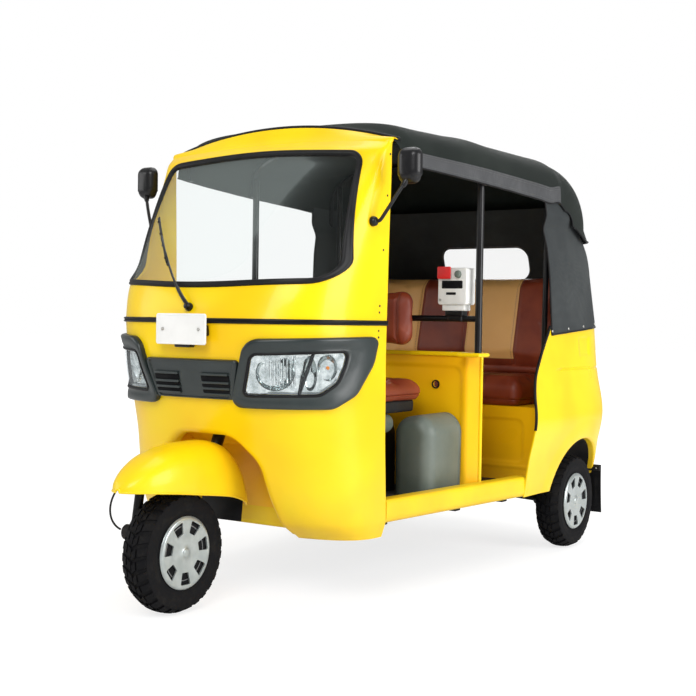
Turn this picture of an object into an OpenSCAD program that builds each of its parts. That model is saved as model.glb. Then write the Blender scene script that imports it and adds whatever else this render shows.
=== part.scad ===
// Passenger auto rickshaw with one steered front wheel, an open cabin and a folding canvas hood.
// Drawn from the front axle: x to the vehicle's left, y rearward, z up from the ground, in millimetres.

/* [Overall] */
// Length from the mudguard tip to the tail
overall_length = 2647; // [2500:1:3000]
// Width across the rear wheel arches
overall_width = 1329; // [1260:1:1600]
// Height of the hood crest above the ground
overall_height = 1740; // [1640:1:2100]
// Front axle to rear axle
wheelbase = 1985; // [1850:1:2300]
// Mudguard tip ahead of the front axle
front_overhang = 270; // [262:1:300]

/* [Wheels] */
// Outside diameter of a tyre
tyre_d = 415; // [345:1:425]
// Section width of a tyre
tyre_w = 107; // [90:1:112]
// Diameter of the rim seat
rim_d = 213; // [200:1:222]
// Diameter of the wheel cap
cap_d = 248; // [236:1:262]
// Openings in a wheel cap
cap_holes = 7; // [5:1:12]
// Distance between the rear wheel centres
rear_track = 1110; // [1070:1:1130]
// Diameter of the front axle
front_axle_d = 20; // [16:1:26]
// Diameter of a rear stub axle
rear_axle_d = 28; // [22:1:36]
// Radial running clearance of shafts in their bores
run_clear = 0.05; // [0.03:0.01:0.1]

/* [Steering] */
// Lean of the steering axis from the vertical
rake = 25; // [22:0.5:27]
// Steering axis ahead of the front axle at the ground
trail = 40; // [25:1:55]
// Diameter of the steering column
column_d = 44; // [36:1:54]
// Half length of the handlebar
bar_half = 330; // [280:1:350]
// Diameter of the handlebar tube
bar_d = 22; // [18:1:28]
// Sideways place of the fork leg
leg_x = 79; // [76:0.5:84]
// Diameter of the fork leg
leg_d = 32; // [26:1:34]

/* [Front shell] */
// Thickness of the pressed panels
panel_t = 12; // [8:1:16]
// Height of the waist seam
waist_z = 990; // [985:1:995]
// Half width of the front wheel opening at its foot
arch_half = 250; // [240:1:262]
// Top of the front wheel opening
arch_top = 590; // [580:1:618]
// Angle that the headlamps are turned outwards
lamp_turn = 35; // [30:1:40]
// Stand of the lamp surrounds off the shell
bezel_t = 22; // [12:1:30]
// Gap between neighbouring fitted pieces
fit_gap = 0.4; // [0.3:0.1:0.6]

/* [Cabin] */
// Top of the floor
floor_z = 325; // [318:1:332]
// Thickness of the floor sheet
floor_t = 12; // [8:1:16]
// Top of the door sill
sill_z = 354; // [346:1:362]
// Front face of the partition
partition_y = 1180; // [1160:1:1215]
// Top of the partition
partition_z = 878; // [850:1:900]
// Place of the side posts along the vehicle
post_y = 1130; // [1120:1:1145]
// Diameter of a side post
post_d = 28; // [22:1:30]
// Height of the grab rail
rail_z = 1011; // [990:1:1030]
// Diameter of the grab rail
rail_d = 24; // [18:1:28]
// Half width of the driver's cushion
driver_half = 370; // [320:1:400]
// Half width of the passengers' cushion
bench_half = 545; // [480:1:570]
// Lean of the passengers' backrest
back_lean = 13; // [8:1:18]

/* [Tail] */
// Radius of the rear wheel opening
rear_arch_r = 280; // [262:1:290]
// Half width of the middle tail panel
tail_half = 450; // [420:1:480]
// Half width of the engine lid opening
lid_half = 310; // [260:1:340]
// Clearance around the engine lid
lid_gap = 6; // [5:0.5:9]

/* [Hood] */
// Thickness of the canvas
canvas_t = 6; // [4:1:8]
// Half width of the hood at its front edge
hood_front_half = 525; // [520:1:540]
// Half width of the hood over the rear seat
hood_rear_half = 610; // [600:1:620]

/* [Hidden] */
$fn = 48;

body_half = overall_width / 2;
front_axle_y = front_overhang - overall_length / 2;
rear_end = overall_length - front_overhang;
tyre_r = tyre_d / 2;
rim_r = rim_d / 2;
// Stretch of the upper works with the overall height
up = (overall_height - waist_z) / (1740 - 990);

function upper(z) = waist_z + (z - 990) * up;
function lerp(a, b, t) = a + (b - a) * t;
function unit(v) = v / norm(v);
function column(table, c) = [for (r = table) [r[0], r[c]]];

// Front shell sections: height, drop at the sides, half width, nose, pillar, squareness
front_rows = [
  [235, 0, 488, 330, 545, 3.0],
  [300, 0, 505, 235, 545, 2.8],
  [420, 0, 502, 180, 545, 2.8],
  [590, 0, 497, 145, 545, 2.8],
  [740, 0, 496, 100, 545, 2.8],
  [880, 0, 495, 65, 545, 2.8],
  [waist_z, 0, 496, 50, 545, 2.8],
  [upper(1105), 0, 498, 98, 545, 3.1],
  [upper(1250), 5, 500, 200, 545, 3.2],
  [upper(1400), 12, 503, 306, 545, 3.4],
  [upper(1560), 18, 506, 419, 545, 3.8],
  [upper(1611), 19, 506, 456, 545, 4.0],
  [upper(1655), 20, 506, 525, 550, 4.0],
  [upper(1708), 70, 506, 558, 585, 4.0]
];
front_drop = column(front_rows, 1);
front_w = column(front_rows, 2);
front_nose = column(front_rows, 3);
front_pillar = column(front_rows, 4);
front_square = column(front_rows, 5);

// Reach of the unit superellipse at an angle
function reach(a, n) = pow(pow(abs(sin(a)), n) + pow(abs(cos(a)), n), -1 / n);

// Point of the front shell at a height and an angle from the centre line, moved outward in plan
function front_pt(z, a, out) =
  let (
    w = lookup(z, front_w),
    p = lookup(z, front_pillar),
    d = p - lookup(z, front_nose),
    n = lookup(z, front_square),
    sx = sin(a) * reach(a, n),
    cy = cos(a) * reach(a, n),
    g = unit([sign(sx) * pow(abs(sx), n - 1) / w, -pow(abs(cy), n - 1) / d])
  )
  [w * sx + out * g[0], p - d * cy + out * g[1], z - lookup(z, front_drop) * sx * sx];

function front_grid(zs, angles, out) = [for (z = zs) [for (a = angles) front_pt(z, a, out)]];

// Tail sections: height, half width inside the overall width, set in from the tail end
tail_rows = [
  [280, 58, 12],
  [420, 34, 0],
  [600, 0, 5],
  [800, 29.5, 20],
  [985, 44.5, 27]
];
// Rear curtain sections: height, half width inside the overall width, set in from the tail end
curtain_rows = [
  [985.5, 44.5, 27],
  [upper(1157), 49.5, 87],
  [upper(1300), 59.5, 127],
  [upper(1420), 82.5, 196],
  [upper(1530), 94.5, 280]
];
// Front edge of the rear quarters: height, ahead of the rear axle
quarter_edge = [[280, 515], [600, 515], [680, 495], [760, 465], [860, 405], [985, 315]];
// Front edge of the curtain flaps: height, ahead of the rear axle
flap_edge = [[985.5, 315], [upper(1270), 335], [upper(1530), 365]];
plan_square = 6;
plan_y = wheelbase - 285;

// Point of the tail plan at a height and an angle from straight back, moved outward
function tail_pt(rows, z, a, out) =
  let (
    w = body_half - lookup(z, column(rows, 1)),
    d = rear_end - lookup(z, column(rows, 2)) - plan_y,
    sx = sin(a) * reach(a, plan_square),
    cy = cos(a) * reach(a, plan_square),
    g = unit([sign(sx) * pow(abs(sx), plan_square - 1) / w, pow(abs(cy), plan_square - 1) / d])
  )
  [w * sx + out * g[0], plan_y + d * cy + out * g[1], z];

// Angle of the tail plan at which it reaches a sideways place
function tail_angle(rows, z, x) =
  let (q = x / (body_half - lookup(z, column(rows, 1))))
  atan2(q, pow(1 - pow(q, plan_square), 1 / plan_square));

// Thin or thick solid between two grids of the same make
module sheet(o, i) {
  m = len(o[0]);
  n = len(o);
  s = n * m;
  pts = concat([for (r = o) for (p = r) p], [for (r = i) for (p = r) p]);
  skin = [
    for (r = [0:n - 2]) for (c = [0:m - 2])
      let (a = r * m + c, b = a + 1, d = a + m, e = d + 1)
      each [[a, d, e], [a, e, b], [a + s, e + s, d + s], [a + s, b + s, e + s]]
  ];
  rims = [
    for (c = [0:m - 2])
      let (a = c, b = c + 1, d = (n - 1) * m + c, e = d + 1)
      each [[a, b, b + s], [a, b + s, a + s], [e, d, d + s], [e, d + s, e + s]]
  ];
  ends = [
    for (r = [0:n - 2])
      let (a = r * m, d = a + m, b = a + m - 1, e = d + m - 1)
      each [[d, a, a + s], [d, a + s, d + s], [b, e, e + s], [b, e + s, b + s]]
  ];
  polyhedron(pts, concat(skin, rims, ends));
}

// Outline moved inwards: each corner is its place and its radius, in turn to the left
function inset(c, d) = [
  for (i = [0:len(c) - 1])
    let (
      p = [c[i][0], c[i][1]],
      q = c[(i + len(c) - 1) % len(c)],
      r = c[(i + 1) % len(c)],
      e1 = unit(p - [q[0], q[1]]),
      e2 = unit([r[0], r[1]] - p),
      n1 = [-e1[1], e1[0]],
      n2 = [-e2[1], e2[0]],
      m = (n1 + n2) / (1 + n1 * n2)
    )
    [p[0] + d * m[0], p[1] + d * m[1], max(c[i][2] - d, 1)]
];

// Points of an outline with round corners
function rounded(c, steps = 5) = [
  for (i = [0:len(c) - 1])
    let (
      p = [c[i][0], c[i][1]],
      q = c[(i + len(c) - 1) % len(c)],
      s = c[(i + 1) % len(c)],
      u = unit([q[0], q[1]] - p),
      v = unit([s[0], s[1]] - p),
      half = acos(u * v) / 2,
      mid = p + unit(u + v) * c[i][2] / sin(half),
      f = p + u * c[i][2] / tan(half) - mid,
      t = p + v * c[i][2] / tan(half) - mid,
      a = atan2(f[1], f[0]),
      w = (atan2(t[1], t[0]) - a + 540) % 360 - 180
    )
    for (k = [0:steps]) mid + c[i][2] * [cos(a + w * k / steps), sin(a + w * k / steps)]
];

function box_outline(x0, x1, y0, y1, r) = [[x0, y0, r], [x1, y0, r], [x1, y1, r], [x0, y1, r]];

// Front view outline carried along the vehicle
module along(points, y0, y1) {
  translate([0, y1, 0]) rotate([90, 0, 0]) linear_extrude(y1 - y0) polygon(points);
}

// Side view outline, drawn as y and z, carried across the vehicle
module across(points, x0, x1) {
  translate([x0, 0, 0]) rotate([90, 0, 90]) linear_extrude(x1 - x0) polygon(points);
}

// Outline on a headlamp's face carried through the shell
module lamp_prism(points) {
  rotate([0, 0, lamp_turn]) rotate([90, 0, 0]) translate([0, 0, -200]) linear_extrude(400) polygon(points);
}

module box(lo, hi) {
  translate(lo) cube(hi - lo);
}

// Round bar between two points
module rod(a, b, d) {
  v = b - a;
  translate(a) rotate([0, acos(v[2] / norm(v)), atan2(v[1], v[0])]) cylinder(h = norm(v), d = d);
}

module both_sides() {
  children();
  mirror([1, 0, 0]) children();
}

module on_steering() {
  translate([0, -trail, 0]) rotate([-rake, 0, 0]) children();
}

// Place on the steering axis at a distance up along it
function steer_at(s) = [0, -trail + s * sin(rake), s * cos(rake)];

shell_angles = [for (k = [-12:12]) 7.5 * k];
cowl_zs = [235, 265, 300, 360, 420, 500, 590, 665, 740, 810, 880, 935, waist_z];
frame_zs = [
  waist_z, upper(1050), upper(1105), upper(1175), upper(1250), upper(1325), upper(1400), upper(1480),
  upper(1560), upper(1611), upper(1655), upper(1708)
];

// Solid that fills the front shell from an offset of its surface back into the cabin
module front_fill(zs, angles, out) {
  o = front_grid(zs, angles, out);
  sheet(o, [for (r = o) [for (p = r) [p[0], 700, p[2]]]]);
}

// Outlines as corners and radii: front view, or a headlamp's own face
screen_outline = [
  [-483, upper(1124), 80], [0, upper(1103), 4000], [483, upper(1124), 80],
  [441, upper(1585), 55], [0, upper(1611), 3000], [-441, upper(1585), 55]
];
arch_outline = [
  [-arch_half, 100, 5], [arch_half, 100, 5], [arch_half - 4, 330, 120], [arch_half - 32, 500, 110],
  [arch_half - 132, arch_top, 120], [132 - arch_half, arch_top, 120], [32 - arch_half, 500, 110],
  [4 - arch_half, 330, 120]
];
bezel_outline = [
  [193, 702, 34], [530, 698, 60], [604, 742, 60], [664, 850, 120], [682, 944, 22], [236, 932, 56]
];
grille_outline = [[-170, 726, 12], [170, 726, 12], [206, 860, 12], [-206, 860, 12]];
lens_outline = [
  [238, 746, 14], [484, 748, 46], [540, 786, 46], [562, 840, 90], [573, 891, 16], [260, 880, 24]
];

// Frame under the floor
rail_x = 300;
rail_top = floor_z - floor_t;
// Cross members: place along the vehicle, width, top below the floor sheet
cross_rows = [[500, 50, 0], [1060, 50, 0], [wheelbase - 385, 50, 0], [wheelbase - 120, 40, 13.3],
  [wheelbase + 150, 40, 13.3], [wheelbase + 265, 40, 0]];
// Sill line: place along the vehicle, outer face
sill_line = [[548, 508], [wheelbase - 515.5, body_half - 58]];
outrigger_ys = [600, 1060, wheelbase - 590];

module chassis_frame() color([0.09, 0.09, 0.1]) {
  both_sides() box([rail_x - 20, 440, rail_top - 70], [rail_x + 20, wheelbase + 300, rail_top]);
  for (r = cross_rows)
    box([-rail_x + 20, r[0], rail_top - 60], [rail_x - 20, r[0] + r[1], rail_top - r[2]]);
  both_sides() for (y = outrigger_ys)
    box([rail_x + 20, y, rail_top - 50], [lookup(y, sill_line) - 60.3, y + 40, rail_top]);
}

tub_half = 272;
tub_rear = 438;
tub_roof = 692;

// Height of the tub's roof, which lies square to the steering axis
function roof_z(y) = steer_at(tub_roof)[2] - tan(rake) * (y - steer_at(tub_roof)[1]);

module wheel_tub() color([0.12, 0.12, 0.13]) difference() {
  t = 8;
  front = 190;
  union() {
    across([
      [front, roof_z(front)], [front, roof_z(front) - t], [tub_rear - t, roof_z(tub_rear) - t],
      [tub_rear - t, rail_top], [tub_rear, rail_top], [tub_rear, roof_z(tub_rear)]
    ], -tub_half, tub_half);
    both_sides() across([
      [300, rail_top], [tub_rear - 1, rail_top], [tub_rear - 1, roof_z(tub_rear - 1) - 1],
      [230, roof_z(230) - 1], [230, 420]
    ], tub_half - t, tub_half);
  }
  on_steering() translate([0, 0, tub_roof - 60]) cylinder(h = 120, d = column_d + 30);
}

module head_tube() color([0.12, 0.12, 0.13]) on_steering() difference() {
  union() {
    translate([0, 0, tub_roof + 0.3]) cylinder(h = 9, d = 150);
    translate([0, 0, tub_roof + 4]) cylinder(h = 160, d = column_d + 24);
  }
  translate([0, 0, tub_roof - 20]) cylinder(h = 240, d = column_d + 2 * run_clear);
}

module floor_pan() color([0.2, 0.2, 0.21]) translate([0, 0, rail_top]) linear_extrude(floor_t) difference() {
  back = wheelbase - 340;
  edge = lookup(wheelbase - 518, sill_line) - 60.4;
  polygon([
    [282, 330], [400, 345], [462, 405], [476, 500], [lookup(548, sill_line) - 60.4, 548],
    [edge, wheelbase - 518], [edge, back], [-edge, back], [-edge, wheelbase - 518],
    [60.4 - lookup(548, sill_line), 548], [-476, 500], [-462, 405], [-400, 345], [-282, 330]
  ]);
  translate([-tub_half - 0.4, 0]) square([2 * tub_half + 0.8, tub_rear + 0.4]);
}

module side_sills() color([0.93, 0.68, 0.03]) both_sides() {
  a = sill_line[0];
  b = sill_line[1];
  translate([0, 0, 281]) linear_extrude(sill_z - 281)
    polygon([[a[1], a[0]], [b[1], b[0]], [b[1] - 60, b[0]], [a[1] - 60, a[0]]]);
}

module front_cowl() color([0.95, 0.7, 0.03]) difference() {
  sheet(front_grid(cowl_zs, shell_angles, 0), front_grid(cowl_zs, shell_angles, -panel_t));
  along(rounded(arch_outline), -200, 600);
  both_sides() lamp_prism(rounded(inset(lens_outline, 1)));
}

module windscreen_frame() color([0.95, 0.7, 0.03]) difference() {
  sheet(front_grid(frame_zs, shell_angles, 0), front_grid(frame_zs, shell_angles, -panel_t));
  along(rounded(screen_outline), -200, 535);
}

module body_beading() color([0.03, 0.03, 0.03]) {
  waist = [waist_z - 8, waist_z, waist_z + 8];
  sheet(front_grid(waist, shell_angles, 9), front_grid(waist, shell_angles, 0.6));
  screen_zs = [for (k = [1:10]) frame_zs[k]];
  intersection() {
    sheet(front_grid(screen_zs, shell_angles, 7), front_grid(screen_zs, shell_angles, -panel_t));
    difference() {
      along(rounded(inset(screen_outline, fit_gap)), -200, 535);
      along(rounded(inset(screen_outline, 24)), -300, 600);
    }
  }
  top = [for (a = shell_angles) front_pt(frame_zs[11], a, 0)];
  end = 587;
  sheet(
    [[for (p = top) p + [0, -4, 9]], [for (p = top) [p[0], end, p[2] + 9]]],
    [[for (p = top) p + [0, -4, 0.6]], [for (p = top) [p[0], end, p[2] + 0.6]]]
  );
}

module windscreen_glass() color([0.7, 0.8, 0.8, 0.4]) intersection() {
  zs = [for (k = [1:10]) frame_zs[k]];
  sheet(front_grid(zs, shell_angles, -1), front_grid(zs, shell_angles, -7));
  along(rounded(inset(screen_outline, 24 + fit_gap)), -200, 535);
}

lamp_zs = [665, 740, 810, 880, 960];
grille_zs = [665, 740, 810, 880];
grille_angles = [for (k = [-4:4]) 7.5 * k];
// Grille slots: height above the grille's foot
slot_rows = [28, 58, 88];

module front_fascia() color([0.13, 0.15, 0.16]) {
  difference() {
    intersection() {
      sheet(front_grid(lamp_zs, shell_angles, bezel_t), front_grid(lamp_zs, shell_angles, 0.5));
      both_sides() lamp_prism(rounded(bezel_outline));
    }
    both_sides() lamp_prism(rounded(lens_outline));
  }
  difference() {
    intersection() {
      sheet(front_grid(grille_zs, grille_angles, 16), front_grid(grille_zs, grille_angles, 0.5));
      along(rounded(grille_outline), -100, 300);
    }
    intersection() {
      sheet(front_grid(grille_zs, grille_angles, 40), front_grid(grille_zs, grille_angles, 6));
      both_sides() for (h = slot_rows)
        along(rounded(box_outline(56, 152 + h * 0.14, 731 + h, 747 + h, 6)), -100, 300);
    }
  }
}

module headlamp_reflectors() color([0.75, 0.76, 0.78]) difference() {
  intersection() {
    sheet(front_grid(lamp_zs, shell_angles, 3), front_grid(lamp_zs, shell_angles, -60));
    both_sides() lamp_prism(rounded(inset(lens_outline, 1.5)));
  }
  intersection() {
    sheet(front_grid(lamp_zs, shell_angles, 20), front_grid(lamp_zs, shell_angles, -52));
    both_sides() lamp_prism(rounded(inset(lens_outline, 7)));
  }
}

module headlamp_lenses() color([0.85, 0.88, 0.9, 0.5]) intersection() {
  sheet(front_grid(lamp_zs, shell_angles, 12), front_grid(lamp_zs, shell_angles, 5));
  both_sides() lamp_prism(rounded(inset(lens_outline, fit_gap)));
}

plate_half = 111;
plate_z = [908, 1013];
plate_y = 20;
plate_bolt_x = 80;
plate_bolt_z = 960;

module front_plate() color([0.9, 0.9, 0.88]) difference() {
  union() {
    along(rounded(box_outline(-plate_half, plate_half, plate_z[0], plate_z[1], 8)), plate_y, plate_y + 5);
    box([-100, plate_y + 4, 935], [100, 90, 978]);
  }
  front_fill([880, 935, waist_z, upper(1105)], grille_angles, 0.5);
  both_sides() translate([plate_bolt_x, plate_y - 10, plate_bolt_z]) rotate([-90, 0, 0])
    cylinder(h = 24, r = 3.5);
}

// Strip in the front view between two places
function strip(a, b, w) =
  let (d = unit(b - a), n = [-d[1], d[0]] * w / 2)
  [a - n, b - n, b + n, a + n];

wiper_zs = [waist_z, upper(1050), upper(1105), upper(1175), upper(1250), upper(1325), upper(1400)];
wiper_angles = [for (k = [-9:1]) 7.5 * k];

module wiper() color([0.04, 0.04, 0.04]) {
  intersection() {
    sheet(front_grid(wiper_zs, wiper_angles, 16), front_grid(wiper_zs, wiper_angles, 8));
    along(strip([-172, upper(1178)], [-366, upper(1368)], 9), -300, 540);
  }
  intersection() {
    sheet(front_grid(wiper_zs, wiper_angles, 21), front_grid(wiper_zs, wiper_angles, 14));
    along(strip([4, upper(1026)], [-290, upper(1294)], 10), -300, 540);
  }
  difference() {
    rod([0, 90, upper(1030)], [0, 34, upper(1040)], 28);
    front_fill([880, waist_z, upper(1050), upper(1105)], grille_angles, 0.5);
  }
}

module mirrors() color([0.05, 0.05, 0.05]) both_sides() {
  z = upper(1340);
  difference() {
    union() {
      rod([470, 446, z], [524, 440, z], 34);
      rod([516, 440, z], [578, 470, z + 95], 14);
      translate([578, 470, z + 95]) sphere(d = 17);
      rod([578, 470, z + 95], [606, 487, z + 165], 14);
    }
    front_fill([for (k = [3:8]) frame_zs[k]], [for (k = [5:12]) 7.5 * k], 0.5);
  }
  translate([0, 472, 0]) along(rounded(box_outline(562, 652, z + 130, z + 254, 24)), 0, 38);
}

module dashboard() color([0.1, 0.1, 0.11]) {
  zs = [912, 935, 970];
  angles = [for (k = [-6:6]) 7.5 * k];
  o = front_grid(zs, angles, -panel_t - 0.5);
  sheet(o, [for (r = o) [for (p = r) [p[0], 226, p[2]]]]);
  box([-90, 110, 965], [90, 205, 1020]);
}

module driver_seat_base() color([0.3, 0.33, 0.3]) {
  along(rounded([[-240, floor_z, 6], [240, floor_z, 6], [240, 645, 60], [-240, 645, 60]]), 742, 1040);
  box([-driver_half + 60, 740, 640], [driver_half - 60, 1060, 690]);
}

module under_seat_locker() color([0.36, 0.39, 0.36]) difference() {
  along(rounded([[262, floor_z, 8], [456, floor_z, 8], [456, 638, 60], [262, 626, 60]]), 930, partition_y - 0.4);
  box([300, 900, 560], [500, 934, 566]);
}

module driver_cushion() color([0.22, 0.13, 0.09]) {
  translate([0, 0, 690.4]) linear_extrude(80)
    polygon(rounded(box_outline(-driver_half, driver_half, 700, 1100, 50)));
}

module driver_backrest() color([0.22, 0.13, 0.09]) {
  along(rounded(box_outline(-305, 305, 885, 1135, 60)), post_y - 90, post_y - rail_d / 2 - 0.4);
}

partition_half = 518;

module partition() color([0.93, 0.66, 0.03]) difference() {
  y = partition_y;
  t = 16;
  union() {
    translate([0, 0, floor_z]) linear_extrude(partition_z - floor_z) polygon([
      [-478, y], [478, y], [partition_half, y + 42], [partition_half, y + 42 + t], [470, y + t],
      [-470, y + t], [-partition_half, y + 42 + t], [-partition_half, y + 42]
    ]);
    box([-478, y - 12, partition_z - 16], [478, y + 4, partition_z]);
    both_sides() box([478, post_y - 26, partition_z - 16], [572, y + 50, partition_z]);
  }
  translate([335, y - 40, 746]) rotate([-90, 0, 0]) cylinder(h = 90, d = 26);
}

// Hood sections: place along the vehicle, foot of the valance, crest below the top
hood_rows = [
  [587.6, 1556, 22],
  [700, 1549, 8],
  [900, 1540, 2],
  [1130, 1530, 0],
  [wheelbase - 605, 1520, 0],
  [wheelbase - 365, 1508, 0],
  [wheelbase - 255, 1490, 2],
  [wheelbase - 185, 1435, 6]
];
hood_square = 4;
drape_y = wheelbase - 185;
drape_z = 1420;
drape_reach = 420;
hood_angles = [for (k = [-12:12]) 7.5 * k];

// Growth of the hood's rear with the width of the body
wide = body_half - 1329 / 2;

function hood_half(y) =
  lookup(y, [[587, hood_front_half], [1130, hood_rear_half - 25], [drape_y, hood_rear_half + wide]]);

// Point of the hood's roof at a place along it
function roof_pt(y, a, out) =
  let (
    foot = upper(lookup(y, column(hood_rows, 1))),
    rise = overall_height - lookup(y, column(hood_rows, 2)) - foot,
    w = hood_half(y),
    k = reach(a, hood_square)
  )
  [(w + out) * sin(a) * k, y, foot + (rise + out) * cos(a) * k];

// Point of the rear drape at a turn from upright to flat
function drape_pt(turn, a, out) =
  let (
    p = roof_pt(drape_y, a, out),
    rise = p[2] - upper(drape_z),
    full = overall_height - 6 - upper(drape_z)
  )
  [p[0], drape_y + rise * sin(turn) * drape_reach / full, upper(drape_z) + rise * cos(turn)];

function hood_grid(ys, turns, out) = concat(
  [for (y = ys) [for (a = hood_angles) roof_pt(y, a, out)]],
  [for (t = turns) [for (a = hood_angles) drape_pt(t, a, out)]]
);

module hood_roof() color([0.07, 0.08, 0.08]) {
  turns = [for (k = [1:6]) 15 * k];
  stations = [for (r = hood_rows) r[0]];
  sheet(hood_grid(stations, turns, 0), hood_grid(stations, turns, -canvas_t));
}

curtain_zs = [985.5, upper(1070), upper(1157), upper(1230), upper(1300), upper(1360), upper(1420), upper(1475), upper(1530)];

// Left side of the curtain from its front edge to the side's end, then round the back
function curtain_row(z, out) =
  let (front = wheelbase - lookup(z, flap_edge), w = body_half - lookup(z, column(curtain_rows, 1)) + out)
  concat(
    [for (k = [0:1]) [w, lerp(front, plan_y, k / 2), z]],
    [for (k = [12:-1:-12]) tail_pt(curtain_rows, z, 7.5 * k, out)],
    [for (k = [1:2]) [-w, lerp(plan_y, front, k / 2), z]]
  );

window_outline = box_outline(-240, 240, upper(1200), upper(1368), 60);

module hood_rear() color([0.08, 0.09, 0.09]) difference() {
  sheet([for (z = curtain_zs) curtain_row(z, 0)], [for (z = curtain_zs) curtain_row(z, -canvas_t)]);
  along(rounded(window_outline), wheelbase, wheelbase + 600);
}

function window_patch(out) =
  [for (i = [2:6]) [for (k = [6:-1:-6]) tail_pt(curtain_rows, curtain_zs[i], 7.5 * k, out)]];

module rear_window() color([0.7, 0.75, 0.75, 0.4]) intersection() {
  sheet(window_patch(-1), window_patch(-4));
  along(rounded(inset(window_outline, fit_gap)), wheelbase, wheelbase + 600);
}

// Hood bows: place along the vehicle, gap under the canvas
bow_rows = [[660, 0.5], [post_y, 0.5], [wheelbase - 215, 4]];

module hood_frame() color([0.05, 0.05, 0.05]) {
  for (b = bow_rows)
    sheet(
      [for (s = [-13, 0, 13]) [for (a = hood_angles) roof_pt(b[0] + s, a, -canvas_t - b[1])]],
      [for (s = [-13, 0, 13]) [for (a = hood_angles) roof_pt(b[0] + s, a, -canvas_t - 14)]]
    );
  both_sides() {
    rod([553, post_y, partition_z + 0.3], [553, post_y, upper(1612)], post_d);
    rod([537, wheelbase - 215, 640.4], [545 + wide * 0.955, wheelbase - 215, upper(1636)], 24);
  }
  rod([-548, post_y, rail_z], [548, post_y, rail_z], rail_d);
}

module fare_meter() color([0.9, 0.9, 0.88]) {
  top = rail_z + rail_d / 2;
  along(rounded(box_outline(375, 525, top + 42, top + 187, 12)), post_y - 40, post_y + 34);
  box([392, post_y - 30, top + 22], [508, post_y + 24, top + 43]);
  box([412, post_y - 20, top + 0.4], [488, post_y + 16, top + 23]);
}

seat_y = wheelbase - 365;

module passenger_seat_frame() color([0.9, 0.64, 0.03]) {
  box([-590, seat_y, floor_z + 0.3], [590, seat_y + 12, 640]);
  box([-590, seat_y + 11, 628], [590, wheelbase + 90, 640]);
}

module passenger_cushion() color([0.24, 0.14, 0.1]) {
  translate([0, 0, 640.4]) linear_extrude(130)
    polygon(rounded(box_outline(-bench_half + 24, bench_half - 24, seat_y - 22, wheelbase + 25, 40)));
}

module passenger_backrest() color([0.42, 0.28, 0.16]) {
  translate([0, wheelbase - 70, 762.1]) rotate([-back_lean, 0, 0]) translate([0, 0, 30])
    along(rounded(box_outline(-bench_half + 15, bench_half - 15, 0, 466, 60)), 0, 110);
}

quarter_zs = [281, 350, 420, 510, 600, 680, 760, 860, 985];

// Left rear quarter from its front edge, round the corner to the tail panel
function quarter_row(z, out) =
  let (
    front = wheelbase - lookup(z, quarter_edge),
    w = body_half - lookup(z, column(tail_rows, 1)) + out,
    last = tail_angle(tail_rows, z, tail_half)
  )
  concat(
    [for (k = [0:2]) [w, lerp(front, plan_y, k / 3), z]],
    [for (k = [0:9]) tail_pt(tail_rows, z, lerp(90, last, k / 9), out)]
  );

module rear_quarters() color([0.95, 0.7, 0.03]) both_sides() difference() {
  sheet([for (z = quarter_zs) quarter_row(z, 0)], [for (z = quarter_zs) quarter_row(z, -panel_t)]);
  translate([400, wheelbase, tyre_r]) rotate([0, 90, 0]) cylinder(h = 400, r = rear_arch_r);
  box([tail_half - 100, wheelbase, 200], [tail_half + fit_gap, rear_end + 50, 1000]);
}

tail_zs = [330, 420, 510, 600, 680, 760, 860, 985];

function tail_row(z, out) =
  let (last = tail_angle(tail_rows, z, tail_half + 30))
  [for (k = [4:-1:-4]) tail_pt(tail_rows, z, last * k / 4, out)];

lid_outline = box_outline(-lid_half, lid_half, 460, 800, 30);
hinge_z = 812;
hinge_y = rear_end - 7;
hinge_pin_d = 8;
// Lid hinges: inner end, outer end of the barrel
hinge_rows = [[170, 230]];

module tail_panel() color([0.95, 0.7, 0.03]) difference() {
  union() {
    sheet([for (z = tail_zs) tail_row(z, 0)], [for (z = tail_zs) tail_row(z, -panel_t)]);
    both_sides() for (h = hinge_rows) {
      rod([h[0] - 6, hinge_y, hinge_z], [h[1] + 34, hinge_y, hinge_z], hinge_pin_d);
      box([h[1] + 12, hinge_y - 20, hinge_z - 7], [h[1] + 34, hinge_y + 6, hinge_z + 7]);
    }
  }
  along(rounded(lid_outline), wheelbase, wheelbase + 600);
  both_sides() box([tail_half, wheelbase, 200], [tail_half + 100, rear_end + 50, 1000]);
}

// Louvre slots of the engine lid: height
louvre_rows = [520, 560, 600, 640, 680, 720];

module engine_lid() color([0.95, 0.7, 0.03]) difference() {
  union() {
    intersection() {
      sheet([for (z = tail_zs) tail_row(z, 0)], [for (z = tail_zs) tail_row(z, -panel_t)]);
      along(rounded(inset(lid_outline, lid_gap)), wheelbase, wheelbase + 600);
    }
    both_sides() for (h = hinge_rows) {
      rod([h[0], hinge_y, hinge_z], [h[1], hinge_y, hinge_z], 13);
      box([h[0], hinge_y - 2, 766], [h[1], hinge_y + 3, hinge_z]);
      box([h[0], hinge_y - 20, 766], [h[1], hinge_y, 784]);
    }
  }
  for (z = louvre_rows)
    along(rounded(box_outline(-200, 200, z, z + 14, 6)), wheelbase, wheelbase + 600);
  rod([-400, hinge_y, hinge_z], [400, hinge_y, hinge_z], hinge_pin_d + 2 * run_clear);
}

function lamp_patch(out) =
  [for (i = [4:7]) let (r = quarter_row(quarter_zs[i], out)) [for (k = [6:12]) r[k]]];

module tail_lamps() color([0.6, 0.05, 0.05]) both_sides() intersection() {
  sheet(lamp_patch(22), lamp_patch(0.5));
  along(rounded(box_outline(tail_half + 18, tail_half + 112, 640, 800, 18)), wheelbase + 200, wheelbase + 500);
}

module mudflaps() color([0.05, 0.05, 0.05]) both_sides() {
  box([468, wheelbase + 262, 120], [552, wheelbase + 268, 345]);
  box([rail_x + 20.3, wheelbase + 267, rail_top - 45], [538, wheelbase + 284, rail_top - 8]);
}

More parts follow.
